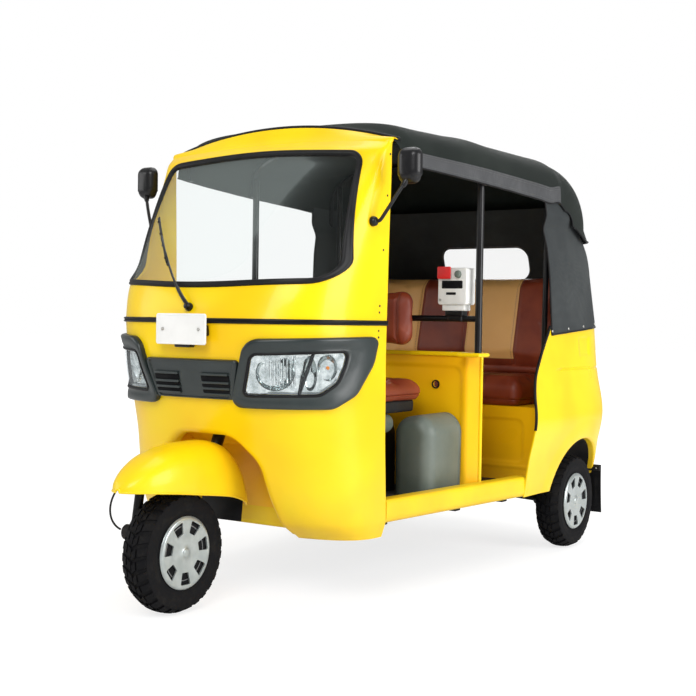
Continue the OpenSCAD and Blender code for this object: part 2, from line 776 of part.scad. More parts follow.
module engine_block() color([0.4, 0.41, 0.42]) {
  box([-170, wheelbase - 160, rail_top - 13], [170, wheelbase + 205, 590]);
}

module silencer() color([0.25, 0.25, 0.25]) {
  rod([-200, wheelbase + 280, 385], [250, wheelbase + 280, 385], 104);
  rod([0, wheelbase + 205.4, 400], [0, wheelbase + 262, 400], 36);
}

module rear_suspension() color([0.1, 0.1, 0.11]) both_sides() {
  x = rear_track / 2;
  hub = tyre_r;
  rod([rail_x + 20.3, wheelbase - 345, 275], [rail_x + 75, wheelbase - 345, 275], 58);
  rod([rail_x + 48, wheelbase - 345, 275], [x - 112, wheelbase, hub], 40);
  rod([x - 140, wheelbase, hub], [x - 50, wheelbase, hub], 60);
  rod([x - 130, wheelbase, hub], [x + 38, wheelbase, hub], rear_axle_d);
  rod([x + 36, wheelbase, hub], [x + 43, wheelbase, hub], rear_axle_d + 8);
  rod([x - 125, wheelbase, hub + 20], [x - 150, wheelbase - 18, 626.5], 26);
  rod([x - 131, wheelbase - 4, 320], [x - 145, wheelbase - 14, 560], 60);
}

crown_s = 540;

// Fork members: places from the column foot round to the link pivot
fork_path = [steer_at(crown_s), [-leg_x, 60, 470], [-leg_x, -80, 428], [-leg_x, -104, 286]];
link_pivot = [-leg_x, -126, 280];

module fork_members(grow) {
  for (k = [0:2]) rod(fork_path[k], fork_path[k + 1], leg_d + grow);
  for (k = [0:3]) translate(fork_path[k]) sphere(d = leg_d + 3 + grow);
}

// Mudguard sections: place, crest, foot, half width
guard_rows = [
  [-front_overhang, 446, 437, 10],
  [-252, 470, 436, 40],
  [-225, 494, 435, 62],
  [-185, 521, 432, 82],
  [-130, 548, 427, 97],
  [-60, 566, 419, 106],
  [20, 575, 408, 110],
  [110, 577, 396, 110],
  [180, 564, 384, 110],
  [226, 532, 370, 108],
  [256, 484, 356, 104],
  [270, 424, 344, 98]
];
guard_square = 2.7;

function guard_grid(out) = [
  for (r = guard_rows) [
    for (k = [-10:10])
      let (a = 9 * k, g = reach(a, guard_square))
      [(r[3] + out) * sin(a) * g, r[0], r[2] + (r[1] + out - r[2]) * cos(a) * g]
  ]
];

module front_mudguard() color([0.95, 0.7, 0.03]) difference() {
  sheet(guard_grid(0), guard_grid(-5));
  on_steering() translate([0, 0, 450]) cylinder(h = 250, d = column_d + 8);
}

module steering_fork() color([0.08, 0.08, 0.09]) {
  on_steering() translate([0, 0, crown_s]) cylinder(h = 1168 - crown_s, d = column_d);
  fork_members(0);
  inner = [for (i = [3:6]) guard_grid(-5.6)[i]];
  intersection() {
    rod([-leg_x - 40, 0, 452], [-leg_x + 4, 0, 452], 18);
    sheet(inner, [for (r = inner) [for (p = r) [p[0] * 0.5, p[1], 300]]]);
  }
}

module front_suspension() color([0.16, 0.16, 0.17]) difference() {
  axle = [-leg_x, 0, tyre_r];
  union() {
    rod(link_pivot - [18, 0, 0], link_pivot + [18, 0, 0], 52);
    rod(link_pivot, axle, 30);
    rod(axle - [16, 0, 0], axle + [16, 0, 0], 56);
    rod(axle, [32, 0, tyre_r], front_axle_d);
    rod([30, 0, tyre_r], [42, 0, tyre_r], front_axle_d + 8);
    rod([-leg_x, 0, tyre_r], [4 - leg_x + 14, 0, tyre_r], 150);
    rod([-leg_x, 14, tyre_r + 14], [-leg_x, 64, 478], 24);
    rod([-leg_x, 24, 262], [-leg_x, 50, 405], 38);
  }
  fork_members(0.8);
}

module handlebar() color([0.06, 0.06, 0.06]) on_steering() {
  translate([0, 0, 1168.4]) cylinder(h = 46, d = column_d + 16);
  s = 1195;
  rod([-bar_half, 0, s], [bar_half, 0, s], bar_d);
  both_sides() rod([bar_half - 110, 0, s], [bar_half + 4, 0, s], bar_d + 12);
  both_sides() rod([bar_half - 170, -8, s], [bar_half - 20, -52, s], 9);
}

module tyre() rotate([0, 90, 0]) rotate_extrude($fn = 96) difference() {
  side = tyre_w / 2;
  // Height of the side wall against the standard one
  wall = (tyre_r - rim_r) / 101;
  union() {
    translate([rim_r + 5, -side + 9]) square([50, 2 * side - 18]);
    translate([tyre_r - side * wall, 0]) scale([wall, 1]) circle(r = side);
    intersection() {
      translate([tyre_r - 120, 0]) circle(r = 120);
      translate([tyre_r - 68, -side + 10]) square([80, 2 * side - 20]);
    }
  }
  translate([-1, -200]) square([rim_r + 1, 400]);
}

hub_half = 42;

// Wheel rim with its hub, bored for the axle
module rim(bore) rotate([0, 90, 0]) difference() {
  edge = tyre_w / 2 - 7.5;
  union() {
    rotate_extrude($fn = 96) {
      translate([rim_r - 15, -edge]) square([14.6, 2 * edge]);
      translate([rim_r - 15, edge - 1]) square([24, 4]);
      translate([rim_r - 15, -edge - 3]) square([24, 4]);
      translate([12, -9]) square([rim_r - 20, 8]);
    }
    translate([0, 0, -hub_half]) cylinder(h = hub_half + 26, r = 32);
  }
  translate([0, 0, -100]) cylinder(h = 200, d = bore);
}

// Wheel cap with its ring of openings
module cap() rotate([0, 90, 0]) difference() {
  r = cap_d / 2;
  dish = rim_r - 24;
  rotate_extrude($fn = 96) polygon([
    [0, 54], [26, 54], [40, 42.5], [dish, 42.5], [dish + 8, 49.5], [r, 49.5], [r, 53], [r - 10, 59],
    [dish + 10, 56.5], [dish - 1, 47], [42, 47], [30, 60], [0, 60]
  ]);
  for (k = [0:cap_holes - 1]) rotate([0, 0, 360 * k / cap_holes]) translate([0, 0, 30]) linear_extrude(40)
    polygon(rounded([[r - 58, -15, 4], [r - 17, -25, 5], [r - 17, 25, 5], [r - 58, 15, 4]]));
}

module at_front_wheel() translate([0, 0, tyre_r]) children();
module at_rear_left() translate([rear_track / 2, wheelbase, tyre_r]) children();
module at_rear_right() mirror([1, 0, 0]) at_rear_left() children();

module front_tyre() color([0.05, 0.05, 0.05]) at_front_wheel() tyre();
module front_rim() color([0.35, 0.35, 0.36]) at_front_wheel() rim(front_axle_d + 2 * run_clear);
module front_cap() color([0.75, 0.76, 0.77]) at_front_wheel() cap();
module rear_left_tyre() color([0.05, 0.05, 0.05]) at_rear_left() tyre();
module rear_left_rim() color([0.35, 0.35, 0.36]) at_rear_left() rim(rear_axle_d + 2 * run_clear);
module rear_left_cap() color([0.75, 0.76, 0.77]) at_rear_left() cap();
module rear_right_tyre() color([0.05, 0.05, 0.05]) at_rear_right() tyre();
module rear_right_rim() color([0.35, 0.35, 0.36]) at_rear_right() rim(rear_axle_d + 2 * run_clear);
module rear_right_cap() color([0.75, 0.76, 0.77]) at_rear_right() cap();

module placed() translate([0, front_axle_y, 0]) children();

placed() chassis_frame();
placed() head_tube();
placed() floor_pan();
placed() side_sills();
placed() wheel_tub();
placed() front_cowl();
placed() windscreen_frame();
placed() body_beading();
placed() windscreen_glass();
placed() front_fascia();
placed() headlamp_reflectors();
placed() headlamp_lenses();
placed() front_plate();
placed() wiper();
placed() mirrors();
placed() dashboard();
placed() driver_seat_base();
placed() under_seat_locker();
placed() driver_cushion();
placed() driver_backrest();
placed() partition();
placed() hood_frame();
placed() fare_meter();
placed() passenger_seat_frame();
placed() passenger_cushion();
placed() passenger_backrest();
placed() rear_quarters();
placed() tail_panel();
placed() tail_lamps();
placed() mudflaps();
placed() hood_roof();
placed() hood_rear();
placed() rear_window();
placed() engine_block();
placed() rear_suspension();
placed() silencer();
placed() engine_lid();
placed() steering_fork();
placed() handlebar();
placed() front_mudguard();
placed() front_suspension();
placed() front_tyre();
placed() front_rim();
placed() front_cap();
placed() rear_left_tyre();
placed() rear_left_rim();
placed() rear_left_cap();
placed() rear_right_tyre();
placed() rear_right_rim();
placed() rear_right_cap();
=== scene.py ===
# %% [markdown]
# # Passenger auto rickshaw
# A three-wheeler with a round yellow nose, an open cabin and a canvas hood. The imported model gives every
# body and joint, so each piece below is drawn in the same place as the solid it stands for. Numbers are
# millimetres from the front axle and the ground, as on a maker's drawing, and one function turns them into
# metres in the model's frame.

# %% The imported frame
import math

import bmesh
import bpy
import numpy as np
from mathutils import Matrix, Vector
from mathutils.bvhtree import BVHTree


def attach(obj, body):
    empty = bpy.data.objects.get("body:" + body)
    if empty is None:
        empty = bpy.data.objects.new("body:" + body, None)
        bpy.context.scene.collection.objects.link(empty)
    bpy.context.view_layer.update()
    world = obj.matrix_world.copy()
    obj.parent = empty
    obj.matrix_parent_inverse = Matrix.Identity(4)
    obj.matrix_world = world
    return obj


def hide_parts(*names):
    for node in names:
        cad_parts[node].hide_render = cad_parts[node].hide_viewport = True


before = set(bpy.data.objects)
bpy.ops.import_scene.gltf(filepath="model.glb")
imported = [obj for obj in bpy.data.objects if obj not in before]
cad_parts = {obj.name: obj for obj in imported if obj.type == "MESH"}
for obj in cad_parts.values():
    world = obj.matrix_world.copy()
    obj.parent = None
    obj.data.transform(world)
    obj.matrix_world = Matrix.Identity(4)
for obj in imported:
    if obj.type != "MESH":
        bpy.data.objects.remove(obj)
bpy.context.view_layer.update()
scene = bpy.context.scene
scene.view_settings.view_transform = "Standard"
AXLE_Y = -1.0535


def metres(points):
    return np.asarray(points, float) * 0.001 + np.array([0.0, AXLE_Y, 0.0])


# %% [markdown]
# ## Camera
# The camera was fitted to known places on the vehicle: wheels, waist line, posts and hood. Its lens, turn,
# pitch and a slight roll are written down here once, and nothing later depends on them.

# %% Camera at the fitted place
turn, pitch, roll = math.radians(33.7235), math.radians(-1.3128), math.radians(0.8835)
side = Vector((math.cos(turn), math.sin(turn), 0))
ahead = Vector((-math.sin(turn) * math.cos(pitch), math.cos(turn) * math.cos(pitch), math.sin(pitch)))
above = side.cross(ahead)
right = math.cos(roll) * side + math.sin(roll) * above
upward = math.cos(roll) * above - math.sin(roll) * side
lens = bpy.data.cameras.new("camera")
lens.lens, lens.sensor_width, lens.clip_end = 62.67, 36.0, 200.0
camera = bpy.data.objects.new("camera", lens)
stand = Matrix((right, upward, -ahead)).transposed().to_4x4()
stand.translation = (2.75172, -4.13065, 0.99843)
camera.matrix_world = stand
scene.collection.objects.link(camera)
scene.camera = camera
print("camera at", tuple(round(v, 3) for v in camera.location))

# %% [markdown]
# ## Shader maths as Python
# A material is a graph of nodes. Wrapping one socket in a small class lets a mask be written as
# `1 - dust * 2`. Every other node comes from one method, so each finish below reads as a short recipe.


# %% A socket that can be added and multiplied
class Wire:
    def __init__(self, tree, socket=None):
        self.tree, self.socket = tree, socket

    def node(self, kind, settings=None, values=None, out=0):
        node = self.tree.nodes.new(kind)
        for key, value in (settings or {}).items():
            setattr(node, key, value)
        for key, value in (values or {}).items():
            if isinstance(value, Wire):
                self.tree.links.new(value.socket, node.inputs[key])
            else:
                node.inputs[key].default_value = value
        return Wire(self.tree, node.outputs[out])

    def maths(self, operation, a, b, clamp=False):
        return self.node("ShaderNodeMath", {"operation": operation, "use_clamp": clamp}, {0: a, 1: b})

    def __add__(self, other):
        return self.maths("ADD", self, other)

    __radd__ = __add__

    def __rsub__(self, other):
        return self.maths("SUBTRACT", other, self)

    def __mul__(self, other):
        return self.maths("MULTIPLY", self, other)

    __rmul__ = __mul__

    def clipped(self):
        return self.maths("ADD", self, 0.0, clamp=True)


def rgb(r, g, b):
    return (r, g, b, 1.0)


class Finish:
    """A material with its principled shader and the few patterns that the recipes share."""

    def __init__(self, name, **constants):
        self.material = bpy.data.materials.new(name)
        self.material.use_nodes = True
        self.tree = self.material.node_tree
        self.shader = self.tree.nodes["Principled BSDF"]
        self.wire = Wire(self.tree)
        self.place = self.wire.node("ShaderNodeTexCoord", out="Object")
        for key, value in constants.items():
            self.shader.inputs[key.replace("_", " ")].default_value = value

    def set(self, key, wire):
        self.tree.links.new(wire.socket, self.shader.inputs[key])

    def noise(self, scale, detail=3.0, rough=0.5):
        return self.wire.node("ShaderNodeTexNoise", None,
                              {"Vector": self.place, "Scale": scale, "Detail": detail, "Roughness": rough})

    def cells(self, scale):
        return self.wire.node("ShaderNodeTexVoronoi", {"feature": "F1"},
                              {"Vector": self.place, "Scale": scale})

    def waves(self, direction, scale):
        return self.wire.node("ShaderNodeTexWave", {"bands_direction": direction, "wave_profile": "SIN"},
                              {"Vector": self.place, "Scale": scale, "Distortion": 0.0}, "Fac")

    def axis(self, name):
        return self.wire.node("ShaderNodeSeparateXYZ", None, {0: self.place}, name)

    def band(self, value, low, high):
        return self.wire.node("ShaderNodeMapRange", {"interpolation_type": "SMOOTHSTEP"},
                              {"Value": value, "From Min": low, "From Max": high})

    def mix(self, factor, a, b):
        return self.wire.node("ShaderNodeMix", {"data_type": "RGBA"}, {0: factor, 6: a, 7: b}, 2)

    def bump(self, height, strength, distance):
        self.set("Normal", self.wire.node("ShaderNodeBump", None,
                                          {"Height": height, "Strength": strength, "Distance": distance}))


print("shader tools ready")

# %% [markdown]
# ## Paint, rubber and metal
# The body is gloss yellow enamel: two near tones clouded together, a clear coat, a faint orange peel and
# road dust that gathers low down. The cabin parts get a deeper orange copy of the same enamel, which is
# painted shade. Rubber, moulded plastic and bare metal differ mostly in roughness and grain, so each has its
# own scale of noise rather than one flat colour.


# %% Enamel, black paint and bare metals
def enamel(name, light, deep, dust_top=0.62):
    f = Finish(name, Coat_Weight=0.14, Coat_Roughness=0.1, Specular_IOR_Level=0.22)
    cloud = f.noise(3.2, 2.0)
    low = (1 - f.band(f.axis("Z"), 0.2, dust_top)) * f.noise(9.0, 5.0, 0.65)
    colour = f.mix(f.band(cloud, 0.35, 0.7), rgb(*light), rgb(*deep))
    f.set("Base Color", f.mix((low * 0.32).clipped(), colour, rgb(0.42, 0.26, 0.1)))
    f.set("Roughness", 0.24 + 0.12 * cloud + 0.3 * low)
    f.bump(f.noise(420.0, 2.0), 0.035, 0.001)
    return f.material


def plain(name, dark, light, scale, rough, grain, depth, **constants):
    f = Finish(name, **constants)
    patch = f.noise(scale, 4.0, 0.6)
    f.set("Base Color", f.mix(f.band(patch, 0.3, 0.72), rgb(*dark), rgb(*light)))
    f.set("Roughness", rough[0] + (rough[1] - rough[0]) * patch)
    f.bump(f.noise(grain, 3.0), depth, 0.001)
    return f.material


yellow = enamel("yellow enamel", (0.93, 0.66, 0.0025), (0.92, 0.57, 0.0025))
# The orange copy of the yellow enamel is painted shade: the same paint drawn darker and more orange for the
# cabin parts that lie in shade.
amber = enamel("cabin enamel", (0.95, 0.53, 0.004), (0.92, 0.45, 0.004), 0.5)
black_enamel = plain("black enamel", (0.004, 0.004, 0.005), (0.009, 0.009, 0.010), 6, (0.22, 0.4), 300, 0.05,
                     Coat_Weight=0.15, Coat_Roughness=0.12, Specular_IOR_Level=0.25)
chassis_black = plain("chassis paint", (0.006, 0.006, 0.007), (0.02, 0.017, 0.015), 8, (0.45, 0.75), 160,
                      0.2, Specular_IOR_Level=0.2)
rim_grey = plain("rim paint", (0.16, 0.165, 0.17), (0.24, 0.245, 0.25), 14, (0.35, 0.55), 240, 0.1,
                 Metallic=0.5)
cap_silver = plain("cap silver", (0.36, 0.40, 0.395), (0.46, 0.50, 0.495), 18, (0.24, 0.36), 500, 0.04,
                   Metallic=0.55, Coat_Weight=0.3)
zinc = plain("zinc plating", (0.42, 0.41, 0.38), (0.62, 0.61, 0.58), 40, (0.28, 0.45), 600, 0.08,
             Metallic=0.9)
chrome = plain("reflector chrome", (0.42, 0.47, 0.47), (0.80, 0.84, 0.84), 34, (0.05, 0.12), 90, 0.5,
               Metallic=1.0)
casting = plain("cast alloy", (0.20, 0.205, 0.21), (0.33, 0.33, 0.33), 22, (0.45, 0.65), 320, 0.35,
                Metallic=0.6)
hot_steel = plain("silencer steel", (0.05, 0.045, 0.042), (0.17, 0.12, 0.09), 12, (0.4, 0.75), 150, 0.3,
                  Metallic=0.6)
white_enamel = plain("plate white", (0.80, 0.80, 0.78), (0.86, 0.86, 0.84), 9, (0.3, 0.42), 300, 0.03,
                     Coat_Weight=0.3)
meter_white = plain("meter case white", (0.72, 0.72, 0.69), (0.82, 0.82, 0.79), 11, (0.34, 0.46), 420, 0.06)
meter_red = plain("flag red", (0.62, 0.012, 0.015), (0.72, 0.02, 0.02), 15, (0.3, 0.42), 300, 0.04,
                  Coat_Weight=0.3)
rubber = plain("black rubber", (0.003, 0.003, 0.0035), (0.008, 0.008, 0.009), 16, (0.36, 0.55), 260, 0.12,
               Specular_IOR_Level=0.22)
# Near black for the meter display and the lamp divider, and also painted shade in the grille slots and behind
# the cap windows.
black_and_painted_shade = plain("dark recess", (0.004, 0.004, 0.005), (0.012, 0.012, 0.013), 12, (0.7, 0.9), 120, 0.1,
             Specular_IOR_Level=0.1)
slate = plain("slate moulding", (0.011, 0.018, 0.018), (0.022, 0.031, 0.031), 5, (0.25, 0.38), 700, 0.16,
              Specular_IOR_Level=0.5)
grey = plain("grey moulding", (0.095, 0.12, 0.098), (0.15, 0.175, 0.15), 4, (0.36, 0.54), 620, 0.25)
# Near-black moulding for the dashboard and the seat board, also used as painted shade on the driver's
# pedestal.
dark_moulding_and_painted_shade = plain("dashboard moulding", (0.010, 0.011, 0.012), (0.02, 0.021, 0.022), 7, (0.5, 0.68), 650,
                   0.4, Specular_IOR_Level=0.2)
red_lens = plain("red lens", (0.38, 0.004, 0.005), (0.5, 0.01, 0.01), 20, (0.1, 0.2), 200, 0.03,
                 Coat_Weight=0.6)
amber_lens = plain("amber lens", (0.75, 0.20, 0.005), (0.85, 0.27, 0.01), 20, (0.1, 0.2), 200, 0.03,
                   Coat_Weight=0.6)
mirror_face = plain("mirror silver", (0.72, 0.74, 0.76), (0.8, 0.81, 0.82), 6, (0.03, 0.06), 200, 0.01,
                    Metallic=1.0)
print(len(bpy.data.materials), "materials so far")

# %% [markdown]
# ## Glass, tyre, canvas and leathercloth
# Window glass is a thin pane, so it is a mix of clear and glossy by the angle of view, which keeps it free
# of noise. The tyre is dusty black. The canvas is a plain weave: two sets of fine bands at right angles,
# with a little pale wear. Leathercloth has a pebbled grain from small cells and a sheen that varies in
# patches.


# %% Clear panes
def pane(name, tint, haze, ripple):
    f = Finish(name, Base_Color=rgb(*tint))
    f.set("Roughness", 0.02 + 0.05 * f.noise(20.0))
    f.bump(f.noise(ripple, 1.0), 0.04, 0.004)
    clear = f.wire.node("ShaderNodeBsdfTransparent", None,
                        {"Color": rgb(*(min(1, 0.86 + 0.12 * t) for t in tint))})
    edge = f.wire.node("ShaderNodeLayerWeight", None, {"Blend": 0.22}, "Fresnel")
    smear = f.noise(5.0, 4.0)
    both = f.wire.node("ShaderNodeMixShader", None, {0: (edge * 0.14 + smear * haze).clipped(), 1: clear})
    f.tree.links.new(f.shader.outputs[0], both.socket.node.inputs[2])
    f.tree.links.new(both.socket, f.tree.nodes["Material Output"].inputs["Surface"])
    return f.material


screen_glass = pane("windscreen glass", (0.82, 0.92, 0.90), 0.008, 3.0)
lens_clear = pane("lamp lens", (0.88, 0.94, 0.97), 0.03, 60.0)
film = pane("window film", (0.92, 0.93, 0.92), 0.04, 9.0)
print("panes", screen_glass.name, lens_clear.name, film.name)


# %% Tyre rubber, canvas and leathercloth
def tyre_finish():
    f = Finish("tyre rubber", Specular_IOR_Level=0.12)
    dust = f.noise(26.0, 5.0, 0.7)
    f.set("Base Color", f.mix(f.band(dust, 0.45, 0.8), rgb(0.005, 0.005, 0.006), rgb(0.016, 0.015, 0.014)))
    f.set("Roughness", 0.58 + 0.3 * dust)
    f.bump(f.noise(380.0, 3.0), 0.25, 0.001)
    return f.material


def canvas_finish(name, dark, light):
    f = Finish(name, Sheen_Weight=0.03, Sheen_Roughness=0.5, Specular_IOR_Level=0.12)
    yarn = f.waves("X", 210.0) * 0.5 + f.waves("Y", 210.0) * 0.5 + f.waves("Z", 210.0) * 0.5
    fade = f.noise(2.6, 5.0, 0.62)
    crease = f.noise(11.0, 3.0)
    tone = f.mix(f.band(fade, 0.35, 0.72), rgb(*dark), rgb(*light))
    f.set("Base Color", f.mix((yarn * 0.22).clipped(), tone, rgb(*(0.5 * c for c in dark))))
    f.set("Roughness", 0.62 + 0.25 * fade)
    f.bump(yarn * 0.12 + crease, 0.35, 0.004)
    return f.material


STRIPE_SHIFT, STRIPE_FROM, STRIPE_TO, STRIPE_FOOT, STRIPE_BLUR = 0.072, 0.127, 0.376, 0.832, 0.003


def leather_finish(name, panels):
    f = Finish(name, Coat_Weight=0.1, Coat_Roughness=0.35, Specular_IOR_Level=0.36)
    brown = f.mix(f.band(f.noise(7.0, 4.0), 0.3, 0.7), rgb(0.17, 0.024, 0.009), rgb(0.26, 0.047, 0.016))
    colour = brown
    if panels:
        x = f.wire.maths("ABSOLUTE", f.axis("X") + STRIPE_SHIFT, 0.0)
        tan = f.mix(f.noise(8.0, 4.0), rgb(0.85, 0.46, 0.15), rgb(0.93, 0.54, 0.19))
        on = f.band(x, STRIPE_FROM, STRIPE_FROM + STRIPE_BLUR)
        on = on * (1 - f.band(x, STRIPE_TO, STRIPE_TO + STRIPE_BLUR))
        on = on * f.band(f.axis("Z"), STRIPE_FOOT, STRIPE_FOOT + 0.004)
        colour = f.mix(on, brown, tan)
    f.set("Base Color", colour)
    f.set("Roughness", 0.34 + 0.22 * f.noise(14.0, 3.0))
    f.bump(f.cells(420.0) * 0.6 + f.noise(60.0, 3.0) * 0.5, 0.28, 0.0015)
    return f.material


tyre_rubber = tyre_finish()
canvas = canvas_finish("hood canvas", (0.011, 0.015, 0.013), (0.024, 0.03, 0.026))
valance_canvas = canvas_finish("valance canvas", (0.07, 0.072, 0.076), (0.11, 0.112, 0.116))
flap_canvas = canvas_finish("side flap canvas", (0.035, 0.04, 0.042), (0.06, 0.066, 0.067))
leather = leather_finish("brown leathercloth", False)
panelled = leather_finish("panelled leathercloth", True)
thread = plain("grey thread", (0.10, 0.10, 0.095), (0.17, 0.17, 0.16), 60, (0.6, 0.8), 900, 0.3)
brown_thread = plain("brown thread", (0.05, 0.016, 0.01), (0.08, 0.026, 0.016), 60, (0.6, 0.8), 900, 0.3)


def floor_finish():
    f = Finish("ribbed floor mat")
    ribs = f.waves("X", 16.0)
    dirt = f.noise(6.0, 5.0, 0.65)
    f.set("Base Color", f.mix(f.band(dirt, 0.4, 0.75), rgb(0.02, 0.02, 0.021), rgb(0.055, 0.05, 0.043)))
    f.set("Roughness", 0.55 + 0.3 * dirt)
    f.bump(ribs, 0.5, 0.003)
    return f.material


floor_mat = floor_finish()
print(len(bpy.data.materials), "materials")

# %% [markdown]
# ## Shapes from numbers
# Each helper returns points and faces. `Build` gathers them into one piece, welds the seams, turns the faces
# outwards, marks sharp edges by angle and hands the piece to the body that carries it.


# %% Outlines with round corners
def unit(v):
    return v / np.maximum(np.linalg.norm(v, axis=-1, keepdims=True), 1e-12)


def outline(corners, arc=8, pitch=14.0):
    c = np.asarray(corners, float)
    runs = []
    for i in range(len(c)):
        p, q, s = c[i, :2], c[i - 1, :2], c[(i + 1) % len(c), :2]
        u, v = unit(q - p), unit(s - p)
        half = math.acos(np.clip(u @ v, -1, 1)) / 2
        mid = p + unit(u + v) * c[i, 2] / math.sin(half)
        f, t = p + u * c[i, 2] / math.tan(half) - mid, p + v * c[i, 2] / math.tan(half) - mid
        a = math.atan2(f[1], f[0])
        w = (math.atan2(t[1], t[0]) - a + 3 * math.pi) % (2 * math.pi) - math.pi
        k = np.linspace(a, a + w, max(arc, int(abs(w) * c[i, 2] / pitch)) + 1)
        runs.append(mid + c[i, 2] * np.stack([np.cos(k), np.sin(k)], 1))
    points = []
    for i, run in enumerate(runs):
        nxt = runs[(i + 1) % len(runs)][0]
        steps = max(1, int(np.linalg.norm(nxt - run[-1]) / pitch))
        points.append(run)
        points.append(run[-1] + (nxt - run[-1]) * np.linspace(0, 1, steps + 1)[1:-1, None])
    points = np.concatenate(points)
    keep = np.linalg.norm(points - np.roll(points, 1, 0), axis=1) > 1e-3
    return points[keep]


def outward(points):
    along = unit(np.roll(points, -1, 0) - np.roll(points, 1, 0))
    return np.stack([along[:, 1], -along[:, 0]], 1)


def grown(points, distance):
    return points + outward(points) * distance


def corner_box(x0, x1, z0, z1, r):
    return [(x0, z0, r), (x1, z0, r), (x1, z1, r), (x0, z1, r)]


# %% Sheets, sweeps and turned shapes
def quads(rows, cols, wrap=False):
    last = cols if wrap else cols - 1
    return [(r * cols + c, r * cols + (c + 1) % cols, (r + 1) * cols + (c + 1) % cols, (r + 1) * cols + c)
            for r in range(rows - 1) for c in range(last)]


def sheet_shape(outer, inner):
    rows, cols = outer.shape[:2]
    n = rows * cols
    faces = quads(rows, cols)
    faces += [tuple(i + n for i in f[::-1]) for f in faces]
    index = np.arange(n).reshape(rows, cols)
    rim = [*index[0], *index[1:, -1], *index[-1, -2::-1], *index[-2:0:-1, 0]]
    faces += [(a, a + n, b + n, b) for a, b in zip(rim, rim[1:] + rim[:1])]
    return np.concatenate([outer.reshape(-1, 3), inner.reshape(-1, 3)]), faces


def rings_shape(rings, closed=False, caps=True):
    rings = np.asarray(rings, float)
    k, m = rings.shape[:2]
    faces = quads(k, m, True)
    if closed:
        faces += [((k - 1) * m + c, (k - 1) * m + (c + 1) % m, (c + 1) % m, c) for c in range(m)]
    elif caps:
        faces += [tuple(range(m))[::-1], tuple((k - 1) * m + i for i in range(m))]
    return rings.reshape(-1, 3), faces


def tube(path, radius, sides=12, closed=False):
    path = np.asarray(path, float)
    radius = np.broadcast_to(radius, len(path))
    if closed:
        tangent = unit(np.roll(path, -1, 0) - np.roll(path, 1, 0))
    else:
        tangent = unit(np.gradient(path, axis=0))
    normal = np.cross(tangent[0], [0.31, 0.21, 0.93])
    rings = []
    for p, t, r in zip(path, tangent, radius):
        normal = unit(normal - t * (normal @ t))
        a = np.linspace(0, 2 * math.pi, sides, endpoint=False)[:, None]
        rings.append(p + r * (np.cos(a) * normal + np.sin(a) * np.cross(t, normal)))
    return rings_shape(rings, closed=closed)


def turned(profile, centre, sides=96):
    profile = np.asarray(profile, float)
    a = np.linspace(0, 2 * math.pi, sides, endpoint=False)
    rings = np.stack([np.stack([np.full(sides, x), r * np.cos(a), r * np.sin(a)], 1) for r, x in profile])
    points, faces = rings_shape(rings, closed=True, caps=False)
    return points + np.asarray(centre, float), faces


def soft_box(low, high, radius, steps=4):
    low, high = np.asarray(low, float), np.asarray(high, float)
    half, mid = (high - low) / 2, (high + low) / 2
    r = min(radius, half.min() * 0.98)
    bend = 1 - np.cos(np.linspace(0, math.pi / 2, steps + 1))
    lines = []
    for h in half:
        edge = -h + r * bend
        lines.append(np.unique(np.round(np.concatenate([edge, np.linspace(-h + r, h - r, 4), -edge]), 6)))
    points, faces = [], []
    for axis in range(3):
        u, v = lines[(axis + 1) % 3], lines[(axis + 2) % 3]
        for sign in (-1, 1):
            g = np.zeros((len(u), len(v), 3))
            g[..., axis] = sign * half[axis]
            g[..., (axis + 1) % 3], g[..., (axis + 2) % 3] = u[:, None], v[None, :]
            core = np.clip(g, -(half - r), half - r)
            g = core + r * unit(g - core)
            base = sum(len(p) for p in points)
            points.append(g.reshape(-1, 3))
            faces += [tuple(i + base for i in f) for f in quads(len(u), len(v))]
    return np.concatenate(points) + mid, faces


def slab(points2d, place, start, end, edge, steps=4):
    """A flat outline given thickness, with round edges. place(points, depth) makes the outline solid."""
    rings = []
    bends = np.linspace(0, math.pi / 2, steps + 1)
    sign = 1 if end > start else -1
    for b in bends:
        rings.append(place(grown(points2d, -edge * (1 - math.sin(b))),
                           start + sign * edge * (1 - math.cos(b))))
    for b in bends[::-1]:
        rings.append(place(grown(points2d, -edge * (1 - math.sin(b))),
                           end - sign * edge * (1 - math.cos(b))))
    return rings_shape(rings)


def facing(points, depth):
    return np.stack([points[:, 0], np.full(len(points), depth), points[:, 1]], 1)


def lengthwise(points, depth):
    return np.stack([np.full(len(points), depth), points[:, 0], points[:, 1]], 1)


def flatwise(points, depth):
    return np.stack([points[:, 0], points[:, 1], np.full(len(points), depth)], 1)


# %% Gathering shapes into a piece
def shade(obj, sharp):
    mesh = obj.data
    mesh.polygons.foreach_set("use_smooth", [True] * len(mesh.polygons))
    mesh.set_sharp_from_angle(angle=math.radians(sharp))


def weld(mesh):
    bm = bmesh.new()
    bm.from_mesh(mesh)
    bmesh.ops.remove_doubles(bm, verts=bm.verts, dist=2e-6)
    bmesh.ops.recalc_face_normals(bm, faces=bm.faces)
    bm.to_mesh(mesh)
    bm.free()


def settle(obj, body, nodes=()):
    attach(obj, body)
    if nodes:
        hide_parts(*nodes)
    return obj


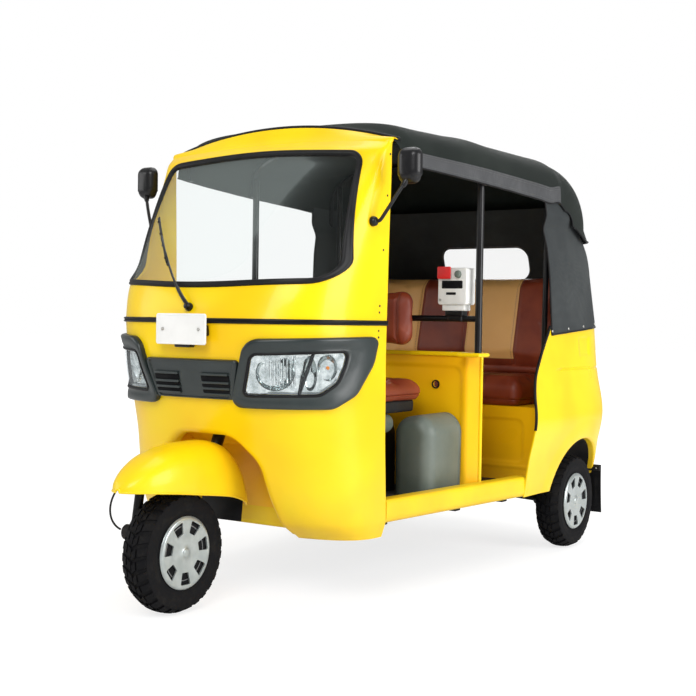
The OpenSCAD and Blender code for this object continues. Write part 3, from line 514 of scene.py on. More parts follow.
class Build:
    def __init__(self):
        self.points, self.faces, self.paint = [], [], []

    def add(self, shape, paint=0, both=False):
        points, faces = shape
        base = len(self.points)
        self.points += [tuple(p) for p in np.asarray(points, float)]
        self.faces += [tuple(int(i) + base for i in f) for f in faces]
        self.paint += [paint] * len(faces)
        if both:
            self.add((np.asarray(points, float) * [-1, 1, 1], [f[::-1] for f in faces]), paint)
        return self

    def mesh_object(self, name, finishes=()):
        mesh = bpy.data.meshes.new(name)
        mesh.from_pydata([tuple(p) for p in metres(self.points)], [], self.faces)
        for finish in finishes:
            mesh.materials.append(finish)
        mesh.polygons.foreach_set("material_index", self.paint)
        weld(mesh)
        obj = bpy.data.objects.new(name, mesh)
        scene.collection.objects.link(obj)
        return obj

    def piece(self, name, finishes, body, slot, nodes=(), sharp=38, cutters=()):
        obj = self.mesh_object(name, finishes)
        if cutters:
            cut(obj, cutters)
        shade(obj, sharp)
        print(f"{name}: {len(obj.data.polygons)} faces")
        return settle(obj, body, nodes)


def bake_modifiers(obj):
    made = bpy.data.meshes.new_from_object(obj.evaluated_get(bpy.context.evaluated_depsgraph_get()))
    made.name = obj.name
    old = obj.data
    obj.modifiers.clear()
    obj.data = made
    bpy.data.meshes.remove(old)
    return obj


def cut(obj, shapes, operation="DIFFERENCE"):
    for shape in shapes:
        tool = Build().add(shape).mesh_object("cutter")
        modifier = obj.modifiers.new("cut", "BOOLEAN")
        modifier.object, modifier.operation, modifier.solver = tool, operation, "EXACT"
        bake_modifiers(obj)
        bpy.data.objects.remove(tool)
    return obj


print("shape tools ready")

# %% [markdown]
# ## Rows of small things
# Rivets, studs and stitches all follow a line. One Geometry Nodes tree turns a line into evenly spaced
# points, stands a small shape on each with its head away from the surface, and makes the result a plain
# mesh.


# %% A tree that sets shapes along a line
def socket_id(tree, name):
    return next(i.identifier for i in tree.interface.items_tree if i.name == name and i.in_out == "INPUT")


def new_tree(name, inputs):
    tree = bpy.data.node_groups.new(name, "GeometryNodeTree")
    for label, kind in inputs:
        tree.interface.new_socket(label, in_out="INPUT", socket_type=kind)
    tree.interface.new_socket("Geometry", in_out="OUTPUT", socket_type="NodeSocketGeometry")
    return tree


def join_up(tree, nodes, links):
    """Links (from node, its output, to node, its input), and the ending that every tree here shares."""
    ending = [("shape", "Geometry", "set", "Instance"), ("set", "Instances", "real", "Geometry"),
              ("real", "Geometry", "paint", "Geometry"), ("in", "Finish", "paint", "Material"),
              ("paint", "Geometry", "end", "Geometry")]
    for source, output, target, socket in links + ending:
        tree.links.new(nodes[source].outputs[output], nodes[target].inputs[socket])


def row_tree():
    tree = new_tree("row along a line", [("Line", "NodeSocketGeometry"), ("Shape", "NodeSocketObject"),
                                         ("Spacing", "NodeSocketFloat"), ("Finish", "NodeSocketMaterial")])
    n = {k: tree.nodes.new(v) for k, v in {
        "in": "NodeGroupInput", "curve": "GeometryNodeMeshToCurve", "even": "GeometryNodeResampleCurve",
        "out": "GeometryNodeInputNamedAttribute", "along": "GeometryNodeInputTangent",
        "stand": "FunctionNodeAlignRotationToVector", "face": "FunctionNodeAlignRotationToVector",
        "shape": "GeometryNodeObjectInfo", "set": "GeometryNodeInstanceOnPoints",
        "real": "GeometryNodeRealizeInstances", "paint": "GeometryNodeSetMaterial",
        "end": "NodeGroupOutput"}.items()}
    n["even"].mode = "LENGTH"
    n["out"].data_type = "FLOAT_VECTOR"
    n["out"].inputs["Name"].default_value = "out"
    n["stand"].axis, n["face"].axis, n["face"].pivot_axis = "Z", "X", "Z"
    join_up(tree, n, [
        ("in", "Line", "curve", "Mesh"), ("curve", "Curve", "even", "Curve"),
        ("in", "Spacing", "even", "Length"), ("out", "Attribute", "stand", "Vector"),
        ("stand", "Rotation", "face", "Rotation"), ("along", "Tangent", "face", "Vector"),
        ("in", "Shape", "shape", "Object"), ("even", "Curve", "set", "Points"),
        ("face", "Rotation", "set", "Rotation")])
    return tree


ROW_TREE = row_tree()


def small_shape(profile, sides=10, stretch=1.0):
    """A little turned shape standing on z = 0, in metres, kept to a few dozen faces."""
    a = np.linspace(0, 2 * math.pi, sides, endpoint=False)
    rings = [np.stack([r * stretch * np.cos(a), r * np.sin(a), np.full(sides, z)], 1) for r, z in profile]
    points, faces = rings_shape(rings)
    mesh = bpy.data.meshes.new("small shape")
    mesh.from_pydata([tuple(p) for p in points * 0.001], [], faces)
    weld(mesh)
    obj = bpy.data.objects.new("small shape", mesh)
    scene.collection.objects.link(obj)
    return obj


def row(name, lines, profile, spacing, finish, body, stretch=1.0, sides=10):
    """lines is a list of (points, directions away from the surface), in millimetres."""
    mesh = bpy.data.meshes.new(name)
    points = np.concatenate([metres(p) for p, _ in lines])
    edges, base = [], 0
    for p, _ in lines:
        edges += [(base + i, base + i + 1) for i in range(len(p) - 1)]
        base += len(p)
    mesh.from_pydata([tuple(p) for p in points], edges, [])
    away = mesh.attributes.new("out", "FLOAT_VECTOR", "POINT")
    outs = [np.broadcast_to(o, np.shape(p)) for p, o in lines]
    away.data.foreach_set("vector", np.concatenate(outs).ravel())
    obj = bpy.data.objects.new(name, mesh)
    scene.collection.objects.link(obj)
    shape = small_shape(profile, sides, stretch)
    modifier = obj.modifiers.new("row", "NODES")
    modifier.node_group = ROW_TREE
    modifier[socket_id(ROW_TREE, "Shape")] = shape
    modifier[socket_id(ROW_TREE, "Spacing")] = spacing * 0.001
    modifier[socket_id(ROW_TREE, "Finish")] = finish
    bake_modifiers(obj)
    bpy.data.objects.remove(shape)
    shade(obj, 50)
    print(f"{name}: {len(obj.data.polygons)} faces")
    return settle(obj, body)


RIVET = [(4.2, 0), (4.2, 0.7), (3.4, 1.9), (1.8, 2.6), (0.2, 2.8)]
STUD = [(6.0, 0), (6.0, 1.2), (5.0, 2.6), (2.6, 3.6), (0.2, 3.9)]
STITCH = [(0.75, 0), (0.75, 0.5), (0.4, 0.95), (0.1, 1.05)]
print("row tree inputs", [i.name for i in ROW_TREE.interface.items_tree])

# %% [markdown]
# ## The front shell
# The nose is a stack of rounded-square sections. The same table that the solids were cut from is read here
# with a smooth curve between its rows, so the painted skin has no facets, and every trim on the nose is
# found by asking where a drawn outline meets this one surface.

# %% One surface for the whole nose
FRONT = np.array([
    [235, 0, 488, 330, 545, 3.0], [300, 0, 505, 235, 545, 2.8], [420, 0, 502, 180, 545, 2.8],
    [590, 0, 497, 145, 545, 2.8], [740, 0, 496, 100, 545, 2.8], [880, 0, 495, 65, 545, 2.8],
    [990, 0, 496, 50, 545, 2.8], [1105, 0, 498, 98, 545, 3.1], [1250, 5, 500, 200, 545, 3.2],
    [1400, 12, 503, 306, 545, 3.4], [1560, 18, 506, 419, 545, 3.8], [1611, 19, 506, 456, 545, 4.0],
    [1655, 20, 506, 525, 550, 4.0], [1708, 70, 506, 558, 585, 4.0]])
WAIST = 990


def smooth(x, y, at):
    """Curve through a table that never overshoots its rows."""
    x, y, at = np.asarray(x, float), np.asarray(y, float), np.clip(at, x[0], x[-1])
    h, d = np.diff(x), np.diff(y) / np.diff(x)
    m = np.concatenate([[d[0]], np.zeros(len(d) - 1), [d[-1]]])
    for i in range(1, len(d)):
        if d[i - 1] * d[i] > 0:
            w1, w2 = 2 * h[i] + h[i - 1], h[i] + 2 * h[i - 1]
            m[i] = (w1 + w2) / (w1 / d[i - 1] + w2 / d[i])
    k = np.clip(np.searchsorted(x, at, side="right") - 1, 0, len(h) - 1)
    t = (at - x[k]) / h[k]
    return (y[k] * (1 + 2 * t) * (1 - t) ** 2 + m[k] * h[k] * t * (1 - t) ** 2
            + y[k + 1] * t * t * (3 - 2 * t) + m[k + 1] * h[k] * t * t * (t - 1))


def front_row(z):
    lower, upper = FRONT[FRONT[:, 0] <= WAIST], FRONT[FRONT[:, 0] >= WAIST]
    z = np.asarray(z, float)
    return [np.where(z < WAIST, smooth(lower[:, 0], lower[:, c], z), smooth(upper[:, 0], upper[:, c], z))
            for c in range(1, 6)]


def front_point(z, a, out=0.0):
    z, a = np.broadcast_arrays(np.asarray(z, float), np.radians(a))
    drop, w, nose, p, n = front_row(z)
    k = (np.abs(np.sin(a)) ** n + np.abs(np.cos(a)) ** n) ** (-1 / n)
    sx, cy = np.sin(a) * k, np.cos(a) * k
    g = unit(np.stack([np.sign(sx) * np.abs(sx) ** (n - 1) / w, -np.abs(cy) ** (n - 1) / (p - nose)], -1))
    x, y = w * sx + out * g[..., 0], p - (p - nose) * cy + out * g[..., 1]
    return np.stack([x, y, z - drop * sx * sx], -1)


def front_inside(x, y, z):
    drop, w, nose, p, n = front_row(z)
    drop, w, nose, p, n = front_row(z + drop * np.clip(np.abs(x) / w, 0, 1) ** 2)
    return (np.abs(x) / w) ** n + (np.clip(p - y, 0, None) / (p - nose)) ** n - 1


def on_front(h, z, turn=0.0):
    """Where outline points, drawn on a face turned outwards, meet the nose, and which way is out there."""
    h, z = np.broadcast_arrays(np.asarray(h, float), np.asarray(z, float))
    c, s = math.cos(math.radians(turn)), math.sin(math.radians(turn))
    low, high = np.full(h.shape, -420.0), np.full(h.shape, 545.0 if turn == 0 else 150.0)
    for _ in range(44):
        mid = (low + high) / 2
        out = front_inside(h * c - mid * s, h * s + mid * c, z) > 0
        low, high = np.where(out, mid, low), np.where(out, high, mid)
    x, y = h * c - high * s, h * s + high * c
    e = 0.5
    normal = np.stack([front_inside(x + e, y, z) - front_inside(x - e, y, z),
                       front_inside(x, y + e, z) - front_inside(x, y - e, z),
                       front_inside(x, y, z + e) - front_inside(x, y, z - e)], -1)
    return np.stack([x, y, z], -1), unit(normal)


def trim(surface, points2d, profile, closed=True):
    """A moulding along an outline on a surface. profile is (offset along the surface, height off it)."""
    away = outward(points2d) if closed else unit(np.stack(
        [np.gradient(points2d[:, 1]), -np.gradient(points2d[:, 0])], 1))
    rails = []
    for offset, height in profile:
        q = points2d + away * offset
        p, normal = surface(q[:, 0], q[:, 1])
        rails.append(p + normal * height)
    return rings_shape(np.stack(rails, 1), closed=closed)


def patch(surface, points2d, profile):
    """A raised or sunk cover inside an outline: rings that step inwards and end in a cap."""
    middle = points2d.mean(0)
    rings = []
    for share, height in profile:
        q = middle + (points2d - middle) * share
        p, normal = surface(q[:, 0], q[:, 1])
        rings.append(p + normal * height)
    return rings_shape(rings)


def front_face(h, z):
    return on_front(h, z, 0.0)


LAMP_TURN = 35.0
LAMP_COS, LAMP_SIN = math.cos(math.radians(LAMP_TURN)), math.sin(math.radians(LAMP_TURN))


def left_lamp(h, z):
    return on_front(h, z, LAMP_TURN)


SCREEN = [(-483, 1124, 80), (0, 1103, 4000), (483, 1124, 80), (441, 1585, 55), (0, 1611, 3000),
          (-441, 1585, 55)]
ARCH = [(-250, 100, 5), (250, 100, 5), (246, 330, 120), (218, 500, 110), (118, 590, 120), (-118, 590, 120),
        (-218, 500, 110), (-246, 330, 120)]
BEZEL = [(193, 702, 34), (530, 698, 60), (604, 742, 60), (664, 850, 120), (682, 944, 22), (236, 932, 56)]
LENS = [(238, 746, 14), (484, 748, 46), (540, 786, 46), (562, 840, 90), (573, 891, 16), (260, 880, 24)]
GRILLE = [(-170, 726, 12), (170, 726, 12), (206, 860, 12), (-206, 860, 12)]
p, normal = on_front(np.array([0.0, 300.0]), np.array([800.0, 800.0]), 0.0)
print("nose at 800 high", p.round(1).tolist())

# %% [markdown]
# ## Cowl and windscreen frame
# Two pressings meet at the waist. Each is a dense sheet with its openings cut by exact booleans. The wheel
# arch is cut a little large and finished with a rolled return, because a pressed panel never ends in a raw
# edge.


# %% Panels of the nose
def front_sheet(zs, angles, out=0.0, thick=10.0):
    grid_z, grid_a = np.meshgrid(zs, angles, indexing="ij")
    ledge = 3.5 * np.clip((grid_z - 1644) / 6, 0, 1) if zs[-1] > 1700 else 0.0
    return sheet_shape(front_point(grid_z, grid_a, out + ledge),
                       front_point(grid_z, grid_a, out + ledge - thick))


def lamp_prism(points2d, low=-260.0, high=200.0):
    def place(q, depth):
        x, y = q[:, 0] * LAMP_COS - depth * LAMP_SIN, q[:, 0] * LAMP_SIN + depth * LAMP_COS
        return np.stack([x, y, q[:, 1]], 1)

    return rings_shape([place(points2d, low), place(points2d, high)])


def mirrored(shape):
    return np.asarray(shape[0], float) * [-1, 1, 1], [f[::-1] for f in shape[1]]


ANGLES = np.linspace(-90, 90, 151)
lens_line, bezel_line, arch_line, screen_line = outline(LENS), outline(BEZEL), outline(ARCH), outline(SCREEN)
LIP = 26.0
arch_cut = rings_shape([facing(grown(arch_line, LIP), -300), facing(grown(arch_line, LIP), 600)])
lens_cut = lamp_prism(grown(lens_line, -1))
cowl = Build().add(front_sheet(np.linspace(235, WAIST, 76), ANGLES))
open_arch = arch_line[(arch_line[:, 1] > 236)]
start = np.argmax(np.linalg.norm(open_arch - np.roll(open_arch, 1, 0), axis=1))
open_arch = np.roll(open_arch, -start, 0)
bend = np.linspace(0, math.pi / 2, 9)
roll_in = [(LIP * (1 - math.sin(b)), -LIP * (1 - math.cos(b))) for b in bend]
roll_in += [(0, -LIP - 24), (3, -LIP - 24)]
roll_in += [(3 + (LIP - 3) * (1 - math.sin(b)), -4 - (LIP - 3) * (1 - math.cos(b))) for b in bend[::-1]]
cowl.piece("nose_cowl", [yellow], "body", "body_paint", ["front_cowl"],
           cutters=[arch_cut, lens_cut, mirrored(lens_cut)])
Build().add(trim(front_face, open_arch, roll_in, closed=False)).piece(
    "wheel_arch_return", [yellow], "body", "body_paint", sharp=60)
APRON = np.array([[437, 326], [435, 300], [432, 262], [434, 249], [440, 244]], float)
across, drop = np.meshgrid(np.linspace(-266, 266, 41), np.arange(len(APRON)), indexing="ij")
apron = np.stack([across, APRON[drop, 0], APRON[drop, 1]], -1)
Build().add(sheet_shape(apron - [0, 3, 0], apron)).piece(
    "wheel_well_apron", [yellow], "body", "body_paint", sharp=50)
screen_cut = rings_shape([facing(screen_line, -300), facing(screen_line, 535)])
frame_zs = np.concatenate([np.linspace(WAIST, 1600, 64), np.linspace(1606, 1642, 10),
                           np.linspace(1644, 1650, 4), np.linspace(1654, 1708, 14)])
Build().add(front_sheet(frame_zs, ANGLES)).piece(
    "screen_surround", [yellow], "body", "frame_paint", ["windscreen_frame"], cutters=[screen_cut])

# %% [markdown]
# ## Rubber trims, glass, rivets
# A rubber section holds the screen: wide, low and slightly hollow in the middle, so it catches two thin
# lights. The waist seam wears a double bead, and the front edge of the hood is clamped under another.

# %% Screen seal, glass, waist bead and header bead
SEAL = [(-16, -6), (-16, 2), (-14, 6), (-9.5, 7.5), (-6, 5.5), (-3, 5.5), (0, 7), (3, 5), (4, 1), (4, -6)]
trims = Build().add(trim(front_face, screen_line, SEAL))
bead_section = [(-9, 0.5), (-9, 4), (-6.5, 7.5), (-3, 7.8), (-1, 4.6), (1, 4.6), (3, 7.8), (6.5, 7.5),
                (9, 4), (9, 0.5)]
rings = np.stack([front_point(WAIST + dz, ANGLES, out) for dz, out in bead_section], 1)
trims.add(rings_shape(rings))
header = front_point(1708.0, ANGLES, 0.0)
trims.add(tube(header + [0, 6, 4], 7.0, 12))
trims.piece("rubber_trims", [rubber], "body", "rubber", ["body_beading"], sharp=50)

glass_zs = np.linspace(1074, 1632, 60)
glass_sheet = Build().add(front_sheet(glass_zs, np.linspace(-84, 84, 111), -1.0, 6.0))
glass = glass_sheet.mesh_object("screen_pane", [screen_glass])
pane_line = grown(screen_line, -13)
cut(glass, [rings_shape([facing(pane_line, -300), facing(pane_line, 535)])], "INTERSECT")
shade(glass, 40)
settle(glass, "body", ["windscreen_glass"])

edge_z = np.array([940, 963, 1027, 1050, 1250, 1450, 1600])
rivet_lines = []
for sx in (-1, 1):
    for z in edge_z:
        p = front_point(np.array([z - 0.1, z + 0.1]), np.array([84.0, 84.0]) * sx)
        rivet_lines.append((p, np.array([sx, 0.0, 0.0])))
row("pillar_rivets", rivet_lines, RIVET, 60.0, black_enamel, "body")

# %% [markdown]
# ## Lamps and grille
# Each surround is a thick moulding between two outlines: a soft outer shoulder, a broad face that leans
# inwards, and a lip down to the lens. Behind the clear lens sit a round main bowl and two smaller
# ones, parted by a slanting dark bar. The grille between the lamps has raised slats at each end, with flat
# black strips between them as painted shade where the slot openings are dark.

# %% Lamp surrounds and grille
SURROUND = [(0.0, 0.5), (0.0, 12), (0.03, 18), (0.09, 21.5), (0.2, 22), (0.55, 19), (0.8, 14.5),
            (0.86, 15.5), (0.93, 15.0), (0.975, 12), (0.985, 4), (0.985, 0.5)]


def between(line_a, line_b, count=220):
    """The same number of points round two outlines, matched by direction from the inner one's middle."""
    middle = line_b.mean(0)
    spun = np.linspace(-math.pi, math.pi, count, endpoint=False)
    out = []
    for line in (line_a, line_b):
        q = line - middle
        a, b = q, np.roll(q, -1, 0)
        ring = []
        for s in spun:
            d = np.array([math.cos(s), math.sin(s)])
            ca, cb = a[:, 0] * d[1] - a[:, 1] * d[0], b[:, 0] * d[1] - b[:, 1] * d[0]
            hit = (ca * cb <= 0) & (((a + b) @ d) > 0) & (np.abs(ca - cb) > 1e-9)
            i = np.nonzero(hit)[0][0]
            t = ca[i] / (ca[i] - cb[i])
            ring.append(middle + a[i] + (b[i] - a[i]) * t)
        out.append(np.array(ring))
    return out


outer_ring, inner_ring = between(bezel_line, lens_line)
rails = []
for share, height in SURROUND:
    q = outer_ring + (inner_ring - outer_ring) * share
    p, normal = left_lamp(q[:, 0], q[:, 1])
    rails.append(p + normal * height)
fascia = Build().add(rings_shape(np.stack(rails, 1), closed=True), both=True)
grille_line = outline(GRILLE)
GRILLE_RISE = [(1.0, 0.5), (1.0, 9), (0.985, 13.5), (0.955, 15.5), (0.92, 15), (0.905, 10.5), (0.4, 10.5)]
fascia.add(patch(front_face, grille_line, GRILLE_RISE))
# The flat black strips between the slats are painted shade standing for the dark slot openings.
SHADE_PAINTED_SLOTS, SLATS = [(748, 760), (768, 780), (788, 808)], [(741, 748), (760, 768), (780, 788), (808, 816)]
SLOT_RISE = [(1.0, 8), (1.0, 12.8), (0.97, 13.2), (0.3, 13.2)]
SLAT_RISE = [(1.0, 8), (1.0, 15), (0.97, 17.8), (0.8, 18.4), (0.3, 18.6)]
for heights, rise, paint in ((SHADE_PAINTED_SLOTS, SLOT_RISE, 2), (SLATS, SLAT_RISE, 0)):
    for z0, z1 in heights:
        fascia.add(patch(front_face, outline(corner_box(50, 164, z0, z1, 3.4)), rise), paint, True)
gasket, out_way = left_lamp(grown(lens_line, 2.5)[:, 0], grown(lens_line, 2.5)[:, 1])
fascia.add(tube(gasket + out_way * 12.5, 5.5, 8, closed=True), 1, True)
fascia.piece("lamp_surrounds", [slate, rubber, black_and_painted_shade], "body", "dark_moulding", ["front_fascia"], sharp=48)


# %% Bowls, bulbs, divider and lenses
LAMP_BACK = np.array([-LAMP_SIN, LAMP_COS, 0.0])


def lamp_axis(h, z, back):
    p, _ = left_lamp(np.array([h]), np.array([z]))
    return p[0] + LAMP_BACK * back


def lamp_ring(h, z, rx, rz, back, count=40):
    """An ellipse facing the way that the lamp faces."""
    a = np.linspace(0, 2 * math.pi, count, endpoint=False)
    centre = lamp_axis(h, z, back)
    return centre + np.stack([rx * np.cos(a) * LAMP_COS, rx * np.cos(a) * LAMP_SIN, rz * np.sin(a)], 1)


lamps = Build()
tray_line = grown(lens_line, -2)
p, normal = left_lamp(tray_line[:, 0], tray_line[:, 1])
p_in, _ = left_lamp(grown(lens_line, -8)[:, 0], grown(lens_line, -8)[:, 1])
lamps.add(rings_shape([p + normal * 4, p_in + normal * 2, p_in + LAMP_BACK * 34, p_in + LAMP_BACK * 36,
                       p + LAMP_BACK * 37]), 0, True)
for h, z, rx, rz, depth in ((338, 818, 62, 56, 40), (455, 815, 20, 52, 26), (512, 836, 30, 40, 30)):
    bowl = []
    for d in np.linspace(0, 1, 9):
        narrow = math.sqrt(max(1 - d, 0.02))
        bowl.append(lamp_ring(h, z, rx * narrow, rz * narrow, 4 + depth * d))
    bowl += [lamp_ring(h, z, rx * 0.2, rz * 0.2, 8 + depth), lamp_ring(h, z, rx + 3, rz + 3, 8)]
    lamps.add(rings_shape(bowl, caps=False, closed=True), 0, True)
for h, z, r, paint in ((338, 818, 11, 1), (512, 836, 10, 2)):
    base = lamp_axis(h, z, 40)
    tip = lamp_axis(h, z, 6)
    path = base + (tip - base) * np.linspace(0, 1, 9)[:, None]
    lamps.add(tube(path, r * np.array([0.7, 0.7, 0.75, 0.95, 1.0, 0.98, 0.85, 0.55, 0.08])), paint, True)
p, normal = left_lamp(np.linspace(465, 417, 12), np.linspace(890, 746, 12))
lamps.add(tube(p + normal * 1.0, 6.5, 8), 3, True)
for h in np.linspace(268, 402, 12):
    q, _ = left_lamp(np.full(9, h), np.linspace(760, 876, 9))
    lamps.add(tube(q + LAMP_BACK * 12, 3.0, 6), 0, True)
lamps.piece("headlamp_bowls", [chrome, lens_clear, amber_lens, black_and_painted_shade], "body", "reflector",
            ["headlamp_reflectors"], sharp=35)
LENS_STEPS = [(0.998, 1.0), (0.998, 9.0), (0.985, 11.5), (0.94, 12.5), (0.6, 13.5), (0.2, 14.0), (0.2, 10.5),
              (0.6, 10.0), (0.97, 8.0), (0.985, 1.0)]
middle = lens_line.mean(0)
rails = []
for share, height in LENS_STEPS:
    q = middle + (lens_line - middle) * share
    p, normal = left_lamp(q[:, 0], q[:, 1])
    rails.append(p + normal * height)
rails = np.array(rails)
count = len(lens_line)
FRONT_CAP, BACK_CAP, LAST = 5, 6, len(LENS_STEPS) - 1
lens_faces = [f for f in quads(len(rails), count, True) if f[0] // count != FRONT_CAP]
lens_faces.append(tuple(FRONT_CAP * count + c for c in range(count)))
lens_faces.append(tuple(BACK_CAP * count + c for c in range(count))[::-1])
lens_faces += [(LAST * count + c, LAST * count + (c + 1) % count, (c + 1) % count, c) for c in range(count)]
Build().add((rails.reshape(-1, 3), lens_faces), 0, True).piece(
    "headlamp_panes", [lens_clear], "body", "lamp_lens", ["headlamp_lenses"], sharp=50)

# %% [markdown]
# ## Plate, wiper and mirrors
# The plate is blank pressed sheet with a raised rim on a dark bracket. The wiper lies on the glass, so its
# arm and blade are drawn on the screen and lifted off it. The mirror heads are soft shells with a silvered
# face that looks back along the vehicle.

# %% Number plate
plate = Build()
plate_line = outline(corner_box(-111, 111, 908, 1013, 9))
rim_steps = [(0, 25), (0, 21.5), (-1.5, 20), (-4, 19.4), (-6.5, 20.0), (-8, 21.2)]
plate.add(rings_shape([facing(grown(plate_line, o), d) for o, d in rim_steps]))
plate.add(soft_box((-96, 25, 938), (96, 62, 974), 5), 1)
plate.add(soft_box((-34, 26, 898), (34, 60, 940), 6), 1)
plate.piece("blank_plate", [white_enamel, black_enamel], "body", "white_plate", ["front_plate"])
PLATE_BOLT = [(6, 0), (6, 1.2), (4.6, 1.5), (4.6, 4.2), (3.8, 5), (0.2, 5.1)]
bolt_lines = [(np.array([[x - 0.1, 20.6, 960], [x + 0.1, 20.6, 960]], float), np.array([0, -1.0, 0]))
              for x in (-80, 80)]
row("plate_bolts", bolt_lines, PLATE_BOLT, 60.0, zinc, "body", sides=6)


# %% Wiper
def over_screen(a, b, lift, count=24):
    t = np.linspace(0, 1, count)[:, None]
    q = np.asarray(a, float) + (np.asarray(b, float) - np.asarray(a, float)) * t
    p, normal = front_face(q[:, 0], q[:, 1])
    return p + normal * np.broadcast_to(lift, count)[:, None]


wiper = Build()
arm = over_screen((2, 1036), (-272, 1278),
                  np.interp(np.linspace(0, 1, 24), [0, 0.12, 0.3, 1], [16, 22, 20, 18]))
wiper.add(tube(arm, np.interp(np.linspace(0, 1, 24), [0, 0.22, 0.3, 1], [7.5, 6.5, 4.2, 3.4]), 8))
wiper.add(tube(over_screen((-172, 1178), (-366, 1368), 9), 3.4, 8))
wiper.add(tube(over_screen((-180, 1186), (-358, 1360), 14), 3.0, 8))
blade_foot, blade_tip = np.array([-172, 1178]), np.array([-366, 1368])
for t in (0.12, 0.38, 0.62, 0.88):
    q = blade_foot + (blade_tip - blade_foot) * t
    p, normal = front_face(q[:1], q[1:])
    wiper.add(tube([p[0] + normal[0] * 8, p[0] + normal[0] * 19], 4.6, 8))
p, normal = front_face(np.array([0.0]), np.array([1034.0]))
boss = [p[0] + normal[0] * d for d in (0.5, 8, 9, 20, 23, 24)]
wiper.add(tube(boss, np.array([15, 15, 12, 12, 9, 1.0]), 16))
wiper.piece("wiper_arm", [black_enamel], "body", "rubber", ["wiper"], sharp=45)

# %% Mirrors
mirrors = Build()
head = outline(corner_box(562, 652, 1470, 1594, 30))
shell_steps = [(0, 510), (0, 498), (-3, 490), (-9, 481), (-18, 475), (-30, 472.5)]
head_rings = []
for o, d in shell_steps:
    q = grown(head, o)
    q[:, 0] = 607 + (q[:, 0] - 607) * (1 - 0.10 * (q[:, 1] < 1500))
    head_rings.append(facing(q, d))
mirrors.add(rings_shape(head_rings), 0, True)
mirrors.add(slab(grown(head, -5), facing, 509, 512, 1.0), 1, True)
stalk = np.array([[506, 441, 1340], [524, 440, 1341], [548, 452, 1378], [578, 470, 1435], [592, 480, 1462],
                  [606, 488, 1490]], float)
fine = np.stack([smooth(np.arange(6), stalk[:, c], np.linspace(0, 5, 30)) for c in range(3)], 1)
mirrors.add(tube(fine, 6.5, 12), 0, True)
mirrors.add(tube([[497, 442, 1340], [503, 441, 1340], [512, 441, 1340], [517, 441, 1340]],
                 np.array([18, 18, 15, 8.0]), 18), 0, True)
knuckle = [[592, 480, 1460], [598, 484, 1472], [604, 487, 1484]]
mirrors.add(tube(knuckle, np.array([9, 11, 8.0]), 12), 0, True)
mirrors.piece("door_mirrors", [black_enamel, mirror_face], "body", "rubber", ["mirrors"], sharp=45)

# %% [markdown]
# ## Front mudguard
# A helmet-shaped pressing that turns with the wheel. It is lofted from its own table of sections, given a
# wired edge along its foot, and carries a rubber flap at the back that keeps mud off the tub.

# %% Mudguard, wired edge and flap
GUARD = np.array([
    [-270, 446, 437, 10], [-252, 470, 436, 40], [-225, 494, 435, 62], [-185, 521, 432, 82],
    [-130, 548, 427, 97], [-60, 566, 419, 106], [20, 575, 408, 110], [110, 577, 396, 110],
    [180, 564, 384, 110], [226, 532, 370, 108], [256, 484, 356, 104], [270, 424, 344, 98]], float)


def guard_point(y, a, out=0.0):
    y, a = np.broadcast_arrays(np.asarray(y, float), np.radians(a))
    crest, foot, half = (smooth(GUARD[:, 0], GUARD[:, c], y) for c in (1, 2, 3))
    n = 2.7
    k = (np.abs(np.sin(a)) ** n + np.abs(np.cos(a)) ** n) ** (-1 / n)
    return np.stack([(half + out) * np.sin(a) * k, y, foot + (crest + out - foot) * np.cos(a) * k], -1)


RAKE = math.radians(25)


def steer_at(s):
    return np.array([0, -40 + s * math.sin(RAKE), s * math.cos(RAKE)])


guard_y = np.concatenate([-270 + 30 * (1 - np.cos(np.linspace(0, math.pi / 2, 8))),
                          np.linspace(-232, 228, 60),
                          270 - 42 * np.cos(np.linspace(0, math.pi / 2, 14))])
gy, ga = np.meshgrid(guard_y, np.linspace(-90, 90, 73), indexing="ij")
guard = Build().add(sheet_shape(guard_point(gy, ga), guard_point(gy, ga, -4.0)))
column_hole = tube([steer_at(450), steer_at(700)], 26.0, 32)
guard.piece("helmet_mudguard", [yellow], "steering", "body_paint", ["front_mudguard"], cutters=[column_hole])
edging = Build()
left_edge, right_edge = guard_point(guard_y, 90.0, -1.0), guard_point(guard_y, -90.0, -1.0)
nose_edge = guard_point(-270.0, np.linspace(90, -90, 40), -1.0)
tail_edge = guard_point(270.0, np.linspace(-90, 90, 40), -1.0)
wire = np.concatenate([left_edge[::-1], nose_edge[1:-1], right_edge, tail_edge[1:-1]])
edging.add(tube(wire, 4.2, 8, closed=True))
edging.piece("mudguard_edge", [yellow], "steering", "body_paint", sharp=60)
flap = Build()
fx, fz = np.meshgrid(np.linspace(-92, 92, 25), np.linspace(286, 420, 22), indexing="ij")
sag = 262 - 12 * ((420 - fz) / 134.0) ** 1.5 - 6 * np.cos(fx / 92 * 1.3)
flap.add(sheet_shape(np.stack([fx, sag, fz], -1), np.stack([fx, sag - 4, fz], -1)))
flap.piece("mudguard_flap", [rubber], "steering", "rubber", sharp=50)

# %% [markdown]
# ## Cable at the front brake
# One cable comes out through the right wall of the mudguard, loops forwards beside the tyre and comes down
# to the pivot of the front link. Its lower end is a guess and stops about 15 mm short of the pivot's boss.
# It is a thin tube along a smooth path.


# %% Brake cable
def curve_through(points, count=60):
    """One smooth curve through a few points."""
    points = np.asarray(points, float)
    at = np.concatenate([[0], np.cumsum(np.linalg.norm(np.diff(points, axis=0), axis=1))])
    at = at / at[-1]
    t = np.linspace(0, 1, count)
    return np.stack([np.polyval(np.polyfit(at, points[:, c], len(points) - 1), t) for c in range(3)], 1)


def loose_cable(name, points, diameter, body):
    line = curve_through(points)
    obj = Build().add(tube(line, diameter / 2, 8)).piece(name, [rubber], body, "rubber", sharp=60)
    length = float(np.linalg.norm(np.diff(metres(line), axis=0), axis=1).sum())
    metres(line)[0]
    metres(line)
    return obj


